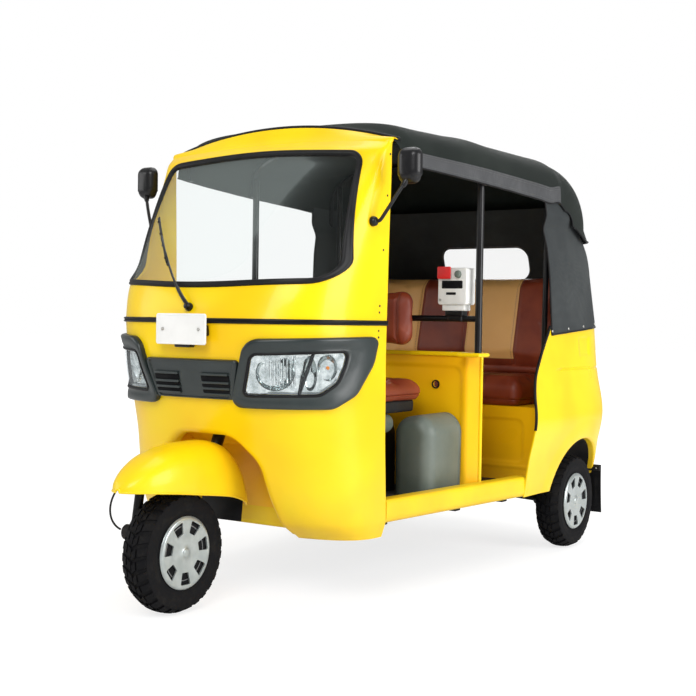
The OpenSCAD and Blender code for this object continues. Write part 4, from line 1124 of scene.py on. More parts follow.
BRAKE_LINE = [(-97, -70, 470), (-122, -118, 442), (-140, -152, 388), (-136, -160, 330), (-112, -138, 288)]
loose_cable("brake_cable", BRAKE_LINE, 7.0, "steering")

# %% [markdown]
# ## Tail and rear quarters
# The back of the body is a rounded box in plan that draws in towards the top. Side and back are the same
# surface, read as how far out it lies at a place along the vehicle, or how far back at a place across it.
# The pressing swells round the wheel opening and has a groove along its side and a square recess above the
# wheel. A black liner closes the arch.

# %% One surface for the back of the body
REAR_AXLE, WHEEL_R, REAR_ARCH_R = 1985.0, 207.5, 290.0
BODY_HALF, TAIL_END, PLAN_Y, PLAN_N = 664.5, 2377.0, 1700.0, 6.0
BODY_TOP, CURTAIN_FOOT, CURTAIN_TOP = 985.0, 985.5, 1530.0
TAIL = np.array([[280, 58, 12], [420, 34, 0], [600, 0, 5], [800, 29.5, 20], [BODY_TOP, 44.5, 27]], float)
CURTAIN = np.array([[CURTAIN_FOOT, 44.5, 27], [1157, 49.5, 87], [1300, 59.5, 127], [1420, 82.5, 196],
                    [CURTAIN_TOP, 94.5, 280]], float)
QUARTER_EDGE = np.array([[280, 520], [560, 534], [680, 528], [760, 500], [860, 428], [BODY_TOP, 318]], float)
FLAP_EDGE = np.array([[CURTAIN_FOOT, 315], [1270, 335], [CURTAIN_TOP, 365]], float)


def tail_size(table, z):
    draw_in, draw_up = (smooth(table[:, 0], table[:, c], z) for c in (1, 2))
    return BODY_HALF - draw_in, TAIL_END - draw_up - PLAN_Y


def side_of(table, y, z):
    w, d = tail_size(table, z)
    return w * np.clip(1 - np.clip((y - PLAN_Y) / d, 0, 1) ** PLAN_N, 0, 1) ** (1 / PLAN_N)


def back_of(table, x, z):
    w, d = tail_size(table, z)
    return PLAN_Y + d * np.clip(1 - np.clip(np.abs(x) / w, 0, 1) ** PLAN_N, 1e-9, 1) ** (1 / PLAN_N)


def slopes(function, u, v, e=0.5):
    gu = (function(u + e, v) - function(u - e, v)) / (2 * e)
    gv = (function(u, v + e) - function(u, v - e)) / (2 * e)
    return gu, gv


def on_back(table):
    def surface(x, z):
        x, z = np.broadcast_arrays(np.asarray(x, float), np.asarray(z, float))
        gx, gz = slopes(lambda a, b: back_of(table, a, b), x, z)
        return np.stack([x, back_of(table, x, z), z], -1), unit(np.stack([-gx, np.ones_like(x), -gz], -1))
    return surface


def plan_point(table, z, a, out=0.0):
    z, a = np.broadcast_arrays(np.asarray(z, float), np.radians(a))
    w, d = tail_size(table, z)
    k = (np.abs(np.sin(a)) ** PLAN_N + np.abs(np.cos(a)) ** PLAN_N) ** (-1 / PLAN_N)
    sx, cy = np.sin(a) * k, np.cos(a) * k
    g = unit(np.stack([np.sign(sx) * np.abs(sx) ** (PLAN_N - 1) / w, np.abs(cy) ** (PLAN_N - 1) / d], -1))
    return np.stack([w * sx + out * g[..., 0], PLAN_Y + d * cy + out * g[..., 1], z], -1)


def around_side(table, edge, z, share, stop, out):
    """Left side from its front edge to the tail: share 0 to 1 along the side, 1 to 2 round the corner."""
    z, share = np.broadcast_arrays(np.asarray(z, float), np.asarray(share, float))
    front = REAR_AXLE - smooth(edge[:, 0], edge[:, 1], z)
    w, _ = tail_size(table, z)
    flat = np.stack([w + out, front + (PLAN_Y - front) * np.clip(share, 0, 1), z], -1)
    corner = plan_point(table, z, 90 + (stop - 90) * np.clip(share - 1, 0, 1), out)
    return np.where(share[..., None] <= 1, flat, corner)


def stop_angle(table, z, x):
    w, _ = tail_size(table, z)
    q = x / w
    return np.degrees(np.arctan2(q, (1 - q ** PLAN_N) ** (1 / PLAN_N)))


print("tail at 700 high", back_of(TAIL, np.array([0.0]), np.array([700.0])).round(1))


# %% Rear quarters
def step(value, low, high):
    t = np.clip((value - low) / (high - low), 0, 1)
    return t * t * (3 - 2 * t)


def pressing(p):
    """How far the quarter panel stands in or out at a point: swelling, groove and square recess."""
    y, z = p[..., 1], p[..., 2]
    reach = np.hypot(y - REAR_AXLE, z - WHEEL_R)
    out = -5.0 + 5.0 * (1 - step(reach, 300, 372))
    out = out - 4.5 * step(z, 795, 799) * (1 - step(z, 803, 808)) * step(y, 1690, 1760)
    box = step(y, 1962, 1972) * (1 - step(y, 2082, 2092)) * step(z, 854, 864) * (1 - step(z, 934, 944))
    return out - 5.0 * box


zs = np.concatenate([np.linspace(281, 789, 66), np.linspace(793, 811, 10), np.linspace(816, BODY_TOP, 26)])
shares = np.concatenate([np.linspace(0, 1, 46), 1 + np.linspace(0, 1, 60)[1:]])
gz, gs = np.meshgrid(zs, shares, indexing="ij")
stop = stop_angle(TAIL, gz, 450.4)
base = around_side(TAIL, QUARTER_EDGE, gz, gs, stop, 0.0)
lift = pressing(base)[..., None]
inner = around_side(TAIL, QUARTER_EDGE, gz, gs, stop, -1.0)
away = base - inner
quarter = Build().add(sheet_shape(base + away * lift, base + away * (lift - 6.0)))
around = np.linspace(0, 2 * math.pi, 120, endpoint=False)
arch_ring = np.stack([REAR_AXLE + REAR_ARCH_R * np.cos(around), WHEEL_R + REAR_ARCH_R * np.sin(around)], 1)
rear_cut = rings_shape([lengthwise(arch_ring, 300), lengthwise(arch_ring, 800)])
half = quarter.mesh_object("quarter", [yellow])
cut(half, [rear_cut])
left_points = np.array([v.co for v in half.data.vertices]) * 1000 - [0, AXLE_Y * 1000, 0]
left_faces = [tuple(f.vertices) for f in half.data.polygons]
bpy.data.objects.remove(half)
turns = np.linspace(math.radians(16), math.radians(164), 90)
lip = []
for b in list(np.linspace(0, math.pi / 2, 7)) + [None]:
    r = REAR_ARCH_R - 9 if b is None else REAR_ARCH_R + 1 - 10 * math.sin(b)
    y, z = REAR_AXLE + r * np.cos(turns), WHEEL_R + r * np.sin(turns)
    p = np.stack([side_of(TAIL, y, z) - 0.5, y, z], 1)
    p[:, 0] -= 34 if b is None else 10 * (1 - math.cos(b))
    lip.append(p)
lip_back = np.stack([np.full(len(turns), -2.5), 2.5 * np.cos(turns), 2.5 * np.sin(turns)], 1)
lip_in = [q + lip_back for q in lip[::-1]]
quarters = Build().add((left_points, left_faces), 0, True)
quarters.add(rings_shape(np.stack(lip + lip_in, 1)), 0, True)
quarters.piece("rear_quarter_panels", [yellow], "body", "body_paint", ["rear_quarters"], sharp=40)

# %% Wheel arch liners and edge piping
LINER_R = REAR_ARCH_R - 11
sweep, lane = np.meshgrid(np.radians(np.linspace(12, 168, 70)), np.linspace(0, 1, 6), indexing="ij")
liner_y, liner_z = REAR_AXLE + LINER_R * np.cos(sweep), WHEEL_R + LINER_R * np.sin(sweep)
rim_x = side_of(TAIL, liner_y, liner_z) - 30
inner_x = np.minimum(548 - 108 * step(liner_y, 2075, 2110) * step(liner_z, 318, 345), rim_x - 40)
liner = np.stack([inner_x + (rim_x - inner_x) * lane, liner_y, liner_z], -1)
thick = 1.8 * np.stack([np.zeros_like(sweep), np.cos(sweep), np.sin(sweep)], -1)
Build().add(sheet_shape(liner + thick, liner), 0, True).piece(
    "wheel_arch_liners", [chassis_black], "body", "rubber", sharp=50)
edge_z = np.linspace(560, 984, 60)
edge_y = REAR_AXLE - smooth(QUARTER_EDGE[:, 0], QUARTER_EDGE[:, 1], edge_z)
edge_line = np.stack([tail_size(TAIL, edge_z)[0] - 7, edge_y, edge_z], 1)
Build().add(tube(edge_line, 6.0, 10), 0, True).piece(
    "quarter_edge_piping", [rubber], "body", "rubber", sharp=60)

# %% [markdown]
# ## Tail panel, engine lid, lamps
# The middle of the back is one pressing with a hatch for the engine. The hatch is cut from the same surface,
# with a rounded gap all round. Its six louvres are slots with small hoods over them, drawn on that surface
# by a loop, because each hood bends with the panel. Each lamp is a moulded block in three colours on a dark
# base.

# %% Tail panel and lid
LID = corner_box(-310, 310, 460, 800, 30)
lid_line = outline(LID)
gx, gz = np.meshgrid(np.linspace(-449.6, 449.6, 140), np.linspace(330, BODY_TOP, 84), indexing="ij")


def back_sheet(gx, gz, out, thick):
    p, normal = on_back(TAIL)(gx, gz)
    out = np.asarray(out)[..., None] if np.ndim(out) else out
    return sheet_shape(p + normal * out, p + normal * (out - thick))


ridge = 3.0 * step(gz, 405, 420) * (1 - step(gz, 850, 866)) - 3.0
tail = Build().add(back_sheet(gx, gz, ridge, 7.0))
hatch = rings_shape([facing(lid_line, 2200), facing(lid_line, 2500)])
tail_hinges = Build()
tail_hinges.add(soft_box((242, 2352, 805), (264, 2378, 821), 4), 0, True)
tail_hinges.add(tube([[160, 2370, 812], [268, 2370, 812]], 4.0, 14), 0, True)
tail.piece("tail_pressing", [yellow], "body", "body_paint", ["tail_panel"], cutters=[hatch])
tail_hinges.piece("lid_hinge_pins", [zinc], "body", "rim_steel")
lid_edge = grown(lid_line, -6)
lx, lz = np.meshgrid(np.linspace(-312, 312, 100), np.linspace(458, 802, 60), indexing="ij")
frame_step = np.minimum(np.minimum(lx + 304, 304 - lx), np.minimum(lz - 466, 794 - lz))
lid_sheet = Build().add(back_sheet(lx, lz, 2.0 * step(frame_step, 22, 40), 7.0))
lid = lid_sheet.mesh_object("louvred_lid", [yellow, zinc, black_and_painted_shade])
cut(lid, [rings_shape([facing(lid_edge, 2200), facing(lid_edge, 2500)])], "INTERSECT")
LOUVRES = range(520, 721, 40)
slot_lines = [outline(corner_box(-196, 196, z - 1, z + 9, 4)) for z in LOUVRES]
cut(lid, [rings_shape([facing(line, 2200), facing(line, 2500)]) for line in slot_lines])
shade(lid, 40)
settle(lid, "engine_lid", ["engine_lid"])
hoods = Build()
for z in LOUVRES:
    ax = np.linspace(-200, 200, 60)
    ends = np.sqrt(np.clip(1 - (np.abs(ax) / 200) ** 8, 0, 1))
    rails = []
    for t in np.linspace(0, math.pi / 2, 9):
        q, nn = on_back(TAIL)(ax, z - 2 + 26 * np.sin(t) * np.ones(60))
        rails.append(q + nn * (2.0 + 13.0 * math.cos(t) * ends)[:, None])
    under = [r - [0, 2.0, 0.6] for r in rails[::-1]]
    hoods.add(rings_shape(np.stack(rails + under, 1)))
hoods.piece("lid_louvres", [yellow], "engine_lid", "body_paint", sharp=50)
knuckles = Build()
knuckles.add(tube([[171, 2370, 812], [229, 2370, 812]], 6.5, 18), 0, True)
knuckles.add(soft_box((172, 2368, 764), (228, 2373.5, 812), 2), 0, True)
knuckles.add(soft_box((-34, 2374, 478), (34, 2392, 500), 6), 1)
knuckles.piece("lid_hinges_and_grip", [zinc, black_enamel], "engine_lid", "rim_steel")

# %% Tail lamps
lamps_back = Build()
lamp_line = outline(corner_box(468, 562, 640, 800, 16))
BASE_RISE = [(1.0, -6), (1.0, 6), (0.985, 8), (0.5, 8)]
CELL_RISE = [(1.0, 5), (1.0, 17), (0.97, 20.5), (0.9, 22), (0.4, 23)]
lamps_back.add(patch(on_back(TAIL), grown(lamp_line, 4), BASE_RISE), 0, True)
for z0, z1, paint in ((644, 692, 2), (694, 748, 1), (750, 796, 3)):
    cell = outline(corner_box(472, 558, z0, z1, 9))
    lamps_back.add(patch(on_back(TAIL), cell, CELL_RISE), paint, True)
lamps_back.piece("tail_lamp_blocks", [slate, red_lens, amber_lens, lens_clear], "body", "red_lens",
                 ["tail_lamps"], sharp=45)

# %% [markdown]
# ## Mudflaps
# Behind each rear wheel hangs a rubber sheet on a steel bar. It bends back a little towards its foot, three
# moulded ribs stiffen it, and a strip with bolts clamps it to the bar.

# %% Mudflaps
flaps = Build()
fx, fz = np.meshgrid(np.linspace(470, 618, 19), np.linspace(122, 345, 28), indexing="ij")
ribs = sum(3.0 * np.exp(-((fx - c) / 7.0) ** 2) for c in (502, 544, 586))
ribs = ribs * step(fz, 140, 160) * (1 - step(fz, 280, 300))
bent = REAR_AXLE + 264 + 14 * ((345 - fz) / 223) ** 2
flaps.add(sheet_shape(np.stack([fx, bent - ribs, fz], -1), np.stack([fx, bent + 4, fz], -1)), 0, True)
flaps.add(soft_box((472, REAR_AXLE + 255, 316), (616, REAR_AXLE + 264, 342), 2.5), 1, True)
flaps.add(soft_box((330, REAR_AXLE + 268, 302), (606, REAR_AXLE + 284, 338), 4), 1, True)
flaps.piece("rear_mudflaps", [rubber, chassis_black], "body", "rubber", ["mudflaps"], sharp=50)
STRIP_Y = REAR_AXLE + 255
bolts = [(np.array([[c - 0.1, STRIP_Y, 329], [c + 0.1, STRIP_Y, 329]]) * [w, 1, 1], np.array([0, -1.0, 0]))
         for c in (490, 544, 598) for w in (-1, 1)]
row("mudflap_bolts", bolts, RIVET, 60.0, zinc, "body")

# %% [markdown]
# ## Sills and partition
# The sill is a box section with soft edges that runs from the cowl to the quarter. The partition behind the
# driver is a pressing: a sunk panel with round corners, a turned top flange, and ends that bend back to the
# posts.

# %% Sills
sills = Build()
rings = []
for t in np.linspace(0, 1, 30):
    y = 548 + (1492 - 548) * t
    x = 508 + 101 * t
    section = outline([(x - 60, 281, 8), (x - 2, 281, 26), (x, 366, 14), (x - 60, 366, 8)], arc=6, pitch=20)
    rings.append(np.stack([section[:, 0], np.full(len(section), y), section[:, 1]], 1))
sills.add(rings_shape(rings), 0, True)
sills.piece("door_sills", [yellow], "body", "body_paint", ["side_sills"], sharp=45)

# %% Partition
line = outline([(-518, 1222, 0.5), (-478, 1180, 24), (478, 1180, 24), (518, 1222, 0.5), (0, 1500, 1)],
               arc=10, pitch=9.0)
keep = (line[:, 1] <= 1221.9) & (np.abs(line[:, 0]) <= 518.5)
line = line[keep]
line = line[np.argsort(line[:, 0])]
along = unit(np.gradient(line, axis=0))
front = np.stack([along[:, 1], -along[:, 0]], 1)
pz = np.linspace(325.5, 878, 80)
px, pzz = np.meshgrid(line[:, 0], pz, indexing="ij")
wall = np.stack([px, np.broadcast_to(line[:, 1:2], px.shape), pzz], -1)
normal = np.stack([np.broadcast_to(front[:, :1], px.shape), np.broadcast_to(front[:, 1:], px.shape),
                   np.zeros_like(px)], -1)


def sunk(x, z, x0, x1, z0, z1, r, soft):
    """1 well inside a rounded rectangle, 0 outside, with a soft edge."""
    dx, dz = np.abs(x - (x0 + x1) / 2) - (x1 - x0) / 2 + r, np.abs(z - (z0 + z1) / 2) - (z1 - z0) / 2 + r
    away = np.hypot(np.clip(dx, 0, None), np.clip(dz, 0, None)) + np.minimum(np.maximum(dx, dz), 0) - r
    return step(-away, 0, soft)


press = -7.0 * sunk(px, pzz, -458, 458, 350, 826, 46, 12)
wall_front = wall + normal * press[..., None]
wall_back = wall + normal * (press[..., None] - 5.0) + np.array([0, 4.0, 0])
hole = tube([[335, 1100, 746], [335, 1260, 746]], 13.0, 32)
partition = Build().add(sheet_shape(wall_front, wall_back))
# The partition wears the orange copy of the enamel: painted shade.
partition.piece("cabin_partition", [amber], "body", "frame_paint", ["partition"], cutters=[hole], sharp=40)
flange = Build()
flange.add(soft_box((-478, 1166, 862), (478, 1196, 879), 6))
flange.add(soft_box((470, 1106, 862), (572, 1196, 878), 7), 0, True)
flange.add(soft_box((470, 1176, 862), (526, 1236, 878), 7), 0, True)
flange.add(tube([[518, 1226, 355], [518, 1226, 600], [518, 1226, 868]], 8.0, 12), 0, True)
flange.piece("partition_flanges", [yellow], "body", "frame_paint", sharp=50)
grommet = Build().add(turned([(13, -6), (17, -6), (18, -2), (17, 1), (13, 1)], (0, 0, 0), 28))
grommet.points = [(335 + p[1], 1180 + 7 + p[0], 746 + p[2]) for p in grommet.points]
grommet.piece("partition_grommet", [rubber], "body", "rubber")

# %% [markdown]
# ## Mouldings in the cabin
# The driver sits on a moulded pedestal beside a tool locker. Both are drawn as a front outline pushed back
# with generous round edges, with a groove where the lid closes. A grey cover fills the space under the seat
# board. The pedestal's lower body is near black as painted shade.


# %% Pedestal and locker
FLOOR_TOP = 326


def moulded(corners, stations):
    """Rings of one outline at several depths, cut level at the floor. stations: (depth, how much smaller)."""
    line2d = outline(corners, arc=12, pitch=12)
    rings = [facing(grown(line2d, -small), depth) for depth, small in stations]
    return rings_shape([np.stack([q[:, 0], q[:, 1], np.maximum(q[:, 2], FLOOR_TOP)], 1) for q in rings])


def dome_stations(front, back, edge, seam):
    bends = np.linspace(0, math.pi / 2, 9)
    first = [(front + edge * (1 - math.cos(b)), edge * 0.9 * (1 - math.sin(b))) for b in bends]
    groove = [(seam - 5, 0), (seam - 4, 2.5), (seam, 4), (seam + 4, 2.5), (seam + 5, 0)]
    return first + groove + [(back - 2, 0), (back, 2)]


locker = Build()
LOCKER = [(284, 270, 22), (456, 270, 22), (460, 584, 74), (414, 642, 64), (284, 618, 70)]
locker.add(moulded(LOCKER, dome_stations(930, 1179, 56, 1162)))
locker.piece("tool_locker", [grey], "body", "grey_moulding", ["under_seat_locker"], sharp=50)
pedestal = Build()
PEDESTAL = [(-240, 270, 16), (240, 270, 16), (236, 600, 90), (160, 642, 60), (-160, 642, 60), (-236, 600, 90)]
# The pedestal's body is near black: painted shade on its lower part under the seat.
pedestal.add(moulded(PEDESTAL, dome_stations(742, 1040, 52, 800)), 1)
pedestal.add(soft_box((-312, 738, 566), (312, 926, 641), 42, 6))
pedestal.add(soft_box((-310, 740, 642), (310, 1060, 690), 12), 1)
pedestal.piece("driver_pedestal", [grey, dark_moulding_and_painted_shade], "body", "grey_moulding", ["driver_seat_base"],
               sharp=50)

# %% Bench front
bench = Build()
bx, bz = np.meshgrid(np.linspace(-590, 590, 160), np.linspace(FLOOR_TOP, 640, 60), indexing="ij")
press = -6.0 * sunk(np.abs(bx), bz, 120, 520, 400, 590, 34, 10)
press += 3.0 * step(bz, 372, 384) * (1 - step(bz, 384, 396))
front = np.stack([bx, 1620 - press, bz], -1)
bench.add(sheet_shape(front, front + [0, 6.0, 0]))
bench.add(soft_box((-590, 1622, 629), (590, 2074, 640), 3))
# The bench front wears the orange copy of the enamel: painted shade.
bench.piece("bench_front", [amber], "body", "frame_paint", ["passenger_seat_frame"], sharp=40)

# %% [markdown]
# ## Seats
# The pads are foam under leathercloth. Each starts as a slightly small rounded block, is remeshed evenly and
# blown up by the cloth solver with a little pressure and no weight. The sewn channels come after that, and
# so does the piping on the two cushions. The bench back has broad brown and tan panels.


# %% Padding by cloth simulation
CLOTH_FRAMES = 20


def puffed(name, shape, voxel, cap):
    obj = Build().add(shape).mesh_object(name)
    even = obj.modifiers.new("even mesh", "REMESH")
    even.mode, even.voxel_size = "VOXEL", voxel * 0.001
    bake_modifiers(obj)
    rest = np.array([v.co for v in obj.data.vertices])
    cloth = obj.modifiers.new("filling", "CLOTH")
    cloth.settings.quality = 5
    cloth.settings.mass = 0.3
    cloth.settings.use_pressure = True
    cloth.settings.uniform_pressure_force = 4.0
    cloth.settings.effector_weights.gravity = 0.0
    cloth.point_cache.frame_start, cloth.point_cache.frame_end = 1, CLOTH_FRAMES
    for number in range(1, CLOTH_FRAMES + 1):
        scene.frame_set(number)
    done = obj.evaluated_get(bpy.context.evaluated_depsgraph_get()).data
    moved = np.array([v.co for v in done.vertices]) - rest
    far = np.linalg.norm(moved, axis=1, keepdims=True)
    moved *= np.minimum(1, cap * 0.001 / np.maximum(far, 1e-9))
    obj.modifiers.clear()
    scene.frame_set(1)
    obj.data.vertices.foreach_set("co", (rest + moved).ravel())
    finer = obj.modifiers.new("finer", "SUBSURF")
    finer.levels = finer.render_levels = 1
    bake_modifiers(obj)
    return obj


def pad_points(obj):
    return (np.array([v.co for v in obj.data.vertices]) - [0, AXLE_Y, 0]) * 1000


def set_points(obj, points):
    obj.data.vertices.foreach_set("co", metres(points).ravel())
    obj.data.update()


def pad_normals(obj):
    return np.array([v.normal for v in obj.data.vertices])


def channel(distance, depth, width):
    return depth * np.exp(-(distance / width) ** 2)


def finish_pad(obj, finish, node):
    obj.data.materials.clear()
    obj.data.materials.append(finish)
    shade(obj, 80)
    settle(obj, "body", [node] if node else [])
    print(f"{obj.name}: {len(obj.data.polygons)} faces")


def hug(obj, path, direction, lift):
    """Drops a path on a pad along a direction, for piping and stitches."""
    bm = bmesh.new()
    bm.from_mesh(obj.data)
    tree = BVHTree.FromBMesh(bm)
    bm.free()
    found = []
    for p, d in zip(metres(path), np.broadcast_to(direction, np.shape(path))):
        d = Vector(d).normalized()
        hit = tree.ray_cast(Vector(p) - d * 0.25, d)
        if hit[0] is not None:
            found.append((np.array(hit[0]) - [0, AXLE_Y, 0]) * 1000 - np.array(d) * lift)
    return np.array(found)


SEAMS = (-449, -200, 56, 305)
bench_pad = puffed("bench_cushion", soft_box((-506, 1612, 641), (506, 1998, 752), 46, 6), 9.0, 20.0)
p, nn = pad_points(bench_pad), pad_normals(bench_pad)
ease = np.clip((p[:, 2] - 650) / 60, 0, 1)
deep = sum(channel(p[:, 0] - x, 7.0, 9.0) for x in SEAMS) * ease + channel(p[:, 2] - 664, 5.0, 6.0)
p -= nn * deep[:, None]
p[:, 2] = np.maximum(p[:, 2], 640.6)
set_points(bench_pad, p)
finish_pad(bench_pad, leather, "passenger_cushion")


BACK_LEAN = -13


def leaned(points):
    q = np.asarray(points, float)
    t = math.radians(BACK_LEAN)
    y, z = q[..., 1], q[..., 2] + 30
    return np.stack([q[..., 0], 1915 + y * math.cos(t) - z * math.sin(t),
                     762.1 + y * math.sin(t) + z * math.cos(t)], -1)


block, block_faces = soft_box((-516, 12, 6), (516, 98, 454), 40, 6)
back_pad = puffed("bench_backrest", (leaned(block), block_faces), 9.0, 20.0)
p, nn = pad_points(back_pad), pad_normals(back_pad)
facing_out = np.clip(-nn[:, 1], 0, 1)
deep = sum(channel(p[:, 0] - x, 9.0, 9.0) for x in SEAMS) * facing_out
p -= nn * deep[:, None]
p[:, 2] -= 24 * (1 - step(p[:, 2], 800, 860)) * (p[:, 1] < 1980)
p[:, 2] = np.where(p[:, 1] < 2000, np.maximum(p[:, 2], 768), p[:, 2])
set_points(back_pad, p)
finish_pad(back_pad, panelled, "passenger_backrest")

driver_pad = puffed("driver_cushion_pad", soft_box((-356, 714, 691), (356, 1086, 756), 34, 6), 8.0, 18.0)
p, nn = pad_points(driver_pad), pad_normals(driver_pad)
deep = channel(p[:, 2] - 708, 5.0, 6.0) + channel(np.abs(p[:, 0]) - 240, 6.0, 9.0) * np.clip(nn[:, 2], 0, 1)
p -= nn * deep[:, None]
p[:, 2] = np.maximum(p[:, 2], 690.6)
set_points(driver_pad, p)
finish_pad(driver_pad, leather, "driver_cushion")

rest_block = slab(outline(corner_box(-293, 293, 897, 1123, 52)), facing, 1050, 1106, 26, 6)
rest_pad = puffed("driver_backrest_pad", rest_block, 7.0, 14.0)
p, nn = pad_points(rest_pad), pad_normals(rest_pad)
deep = channel(np.abs(p[:, 0]) - 232, 7.0, 8.0) * np.clip(-nn[:, 1], 0, 1)
p -= nn * deep[:, None]
p[:, 1] = np.minimum(p[:, 1], 1117.4)
set_points(rest_pad, p)
finish_pad(rest_pad, leather, "driver_backrest")

roll = puffed("backrest_foot_roll", soft_box((-506, 1946, 768), (506, 1998, 806), 18, 4), 5.0, 6.0)
finish_pad(roll, leather, None)

# %% Piping and stitches on the seats
piping = Build()
for pad, x, y0, y1, z in ((bench_pad, 520, 1600, 2008, 664), (driver_pad, 370, 702, 1098, 708)):
    ring = outline(corner_box(-x, x, y0, y1, 40), arc=8, pitch=10)
    middle = ring.mean(0)
    path = flatwise(ring, z)
    found = hug(pad, path, np.concatenate([unit(middle - ring), np.zeros((len(ring), 1))], 1), 1.5)
    piping.add(tube(found, 3.6, 8, closed=True))
piping.piece("seat_piping", [leather], "body", "leatherette", sharp=60)
seams = []
for x in SEAMS:
    for side_step in (-9, 9):
        t = np.linspace(40, 420, 60)
        path = leaned(np.stack([np.full(60, x + side_step), np.full(60, 0.0), t], 1))
        found = hug(back_pad, path, (0, 1, 0.0), 0.0)
        seams.append((found, np.array([0, -1.0, 0.2])))
        t = np.linspace(1640, 1960, 50)
        path = np.stack([np.full(50, x + side_step), t, np.full(50, 770.0)], 1)
        found = hug(bench_pad, path, (0, 0, -1.0), 0.0)
        seams.append((found, np.array([0, 0, 1.0])))
row("seat_stitches", seams, STITCH, 8.0, brown_thread, "body", stretch=3.0, sides=6)

# %% [markdown]
# ## Canvas hood
# The hood is one sheet drawn tight over its bows, with a deep side valance and a rear that drapes down to
# the curtain. It sinks a little between the bows and ripples along its hem. The curtain is a second sheet,
# studded to the body, with a clear window sewn in.

# %% The roof sheet
TOP, HOOD_Y, DRAPE_Y, DRAPE_Z = 1740.0, 587.6, 1800.0, 1420.0
HOOD = np.array([[HOOD_Y, 1556, 22], [700, 1549, 8], [900, 1540, 2], [1130, 1530, 0], [1380, 1520, 0],
                 [1620, 1508, 0], [1730, 1490, 2], [DRAPE_Y, 1435, 6]], float)
HELD_AT = (600, 660, 1130, 1770, DRAPE_Y)


def roof_point(y, a, out=0.0):
    y, a = np.broadcast_arrays(np.asarray(y, float), np.radians(a))
    foot, crest = smooth(HOOD[:, 0], HOOD[:, 1], y), smooth(HOOD[:, 0], HOOD[:, 2], y)
    half = smooth([587, 1130, DRAPE_Y], [525, 585, 610], y)
    n = 2.7 + 1.3 * step(y, 588, 642)
    k = (np.abs(np.sin(a)) ** n + np.abs(np.cos(a)) ** n) ** (-1 / n)
    off_bow = np.min([np.abs(y - b) for b in HELD_AT], 0)
    sag = 9.0 * np.abs(np.cos(a)) * (1 - np.exp(-(off_bow / 90) ** 2))
    rise = (TOP - crest - foot + out - sag - 9 * (1 - step(y, 588, 644))) * np.cos(a) * k
    return np.stack([(half + out) * np.sin(a) * k, y, foot + rise], -1)


def hood_point(s, a, out=0.0):
    """Along the sheet: s is 0 in front, 1 over the rear bow, 2 at the drape's foot, 3 at the skirt's hem."""
    s, a = np.broadcast_arrays(np.asarray(s, float), np.asarray(a, float))
    along = HOOD_Y + (DRAPE_Y - HOOD_Y) * np.clip(s, 0, 1)
    p = roof_point(along, a * (1 - 0.11 * step(along, 1640, DRAPE_Y)), out)
    t = np.clip(s - 1, 0, 1) * math.pi / 2
    rise = p[..., 2] - DRAPE_Z
    y = p[..., 1] + rise * np.sin(t) * 420 / (TOP - 6 - DRAPE_Z)
    fall = 52 * np.clip(s - 2, 0, 1) * (1 - step(np.abs(a), 70, 88))
    z = np.where(s > 1, DRAPE_Z + rise * np.cos(t), p[..., 2]) - fall
    now, then = tail_size(CURTAIN, DRAPE_Z - fall), tail_size(CURTAIN, DRAPE_Z)
    ripple = 1.4 * np.sin(p[..., 1] * 0.047 + 3 * np.sin(p[..., 1] * 0.011))
    ripple = ripple * step(np.abs(a), 76, 90) * (1 - step(along, 1640, DRAPE_Y))
    x = p[..., 0] * now[0] / then[0] + np.sign(p[..., 0]) * ripple
    return np.stack([x, y + (now[1] - then[1]) * np.clip((y - DRAPE_Y) / 400, 0, 1), z], -1)


ss = np.concatenate([np.linspace(0, 1, 120), 1 + np.linspace(0, 1, 40)[1:], 2 + np.linspace(0, 1, 8)[1:]])
aa = np.concatenate([np.linspace(-90, -60, 26), np.linspace(-60, 60, 90)[1:-1], np.linspace(60, 90, 26)])
gs, ga = np.meshgrid(ss, aa, indexing="ij")
roof_outer, roof_inner = hood_point(gs, ga), hood_point(gs, ga, -3.0)
roof = Build().add(sheet_shape(roof_outer, roof_inner))
roof_piece = roof.piece("canvas_roof", [canvas], "body", "canvas", ["hood_roof"], sharp=60)


def area_of(grid):
    q = grid * 0.001
    a, b, c, d = q[:-1, :-1], q[1:, :-1], q[1:, 1:], q[:-1, 1:]
    first, second = np.cross(b - a, c - a), np.cross(c - a, d - a)
    return float((np.linalg.norm(first, axis=-1) + np.linalg.norm(second, axis=-1)).sum() / 2)


def spans(grid):
    q = grid * 0.001
    return (float(np.linalg.norm(np.diff(q, axis=1), axis=-1).sum(1).max()),
            float(np.linalg.norm(np.diff(q, axis=0), axis=-1).sum(0).max()))


width, length = spans(roof_outer)
area_of(roof_outer)
print(f"roof sheet {width:.2f} by {length:.2f} m, {area_of(roof_outer):.2f} square metres")

# %% Valance and hems
valance = Build()
vs, va = np.meshgrid(np.linspace(0.012, 0.965, 120), np.linspace(74.0, 89.6, 16), indexing="ij")
for s in (-1, 1):
    valance.add(sheet_shape(hood_point(vs, va * s, 2.6), hood_point(vs, va * s, 1.2)))
valance_piece = valance.piece("hood_valance", [valance_canvas], "body", "canvas", sharp=60)
one = hood_point(vs, va, 2.6)
vw, vl = spans(one)
min(2 * area_of(one), 2 * vw * vl)
hem = Build()
for s in (-90, 90):
    hem.add(tube(hood_point(np.linspace(0, 2, 160), float(s), 0.6), 3.6, 8))
hem.add(tube(hood_point(3.0, np.linspace(-89, 89, 140), 1.0), 4.0, 8))
hem.piece("hood_hem", [rubber], "body", "rubber", sharp=60)

# %% Rear curtain with its window
WINDOW = corner_box(-240, 240, 1200, 1368, 60)
window_line = outline(WINDOW, arc=10)
share = np.concatenate([np.linspace(0, 1, 26), 1 + np.linspace(0, 1, 90)[1:]])


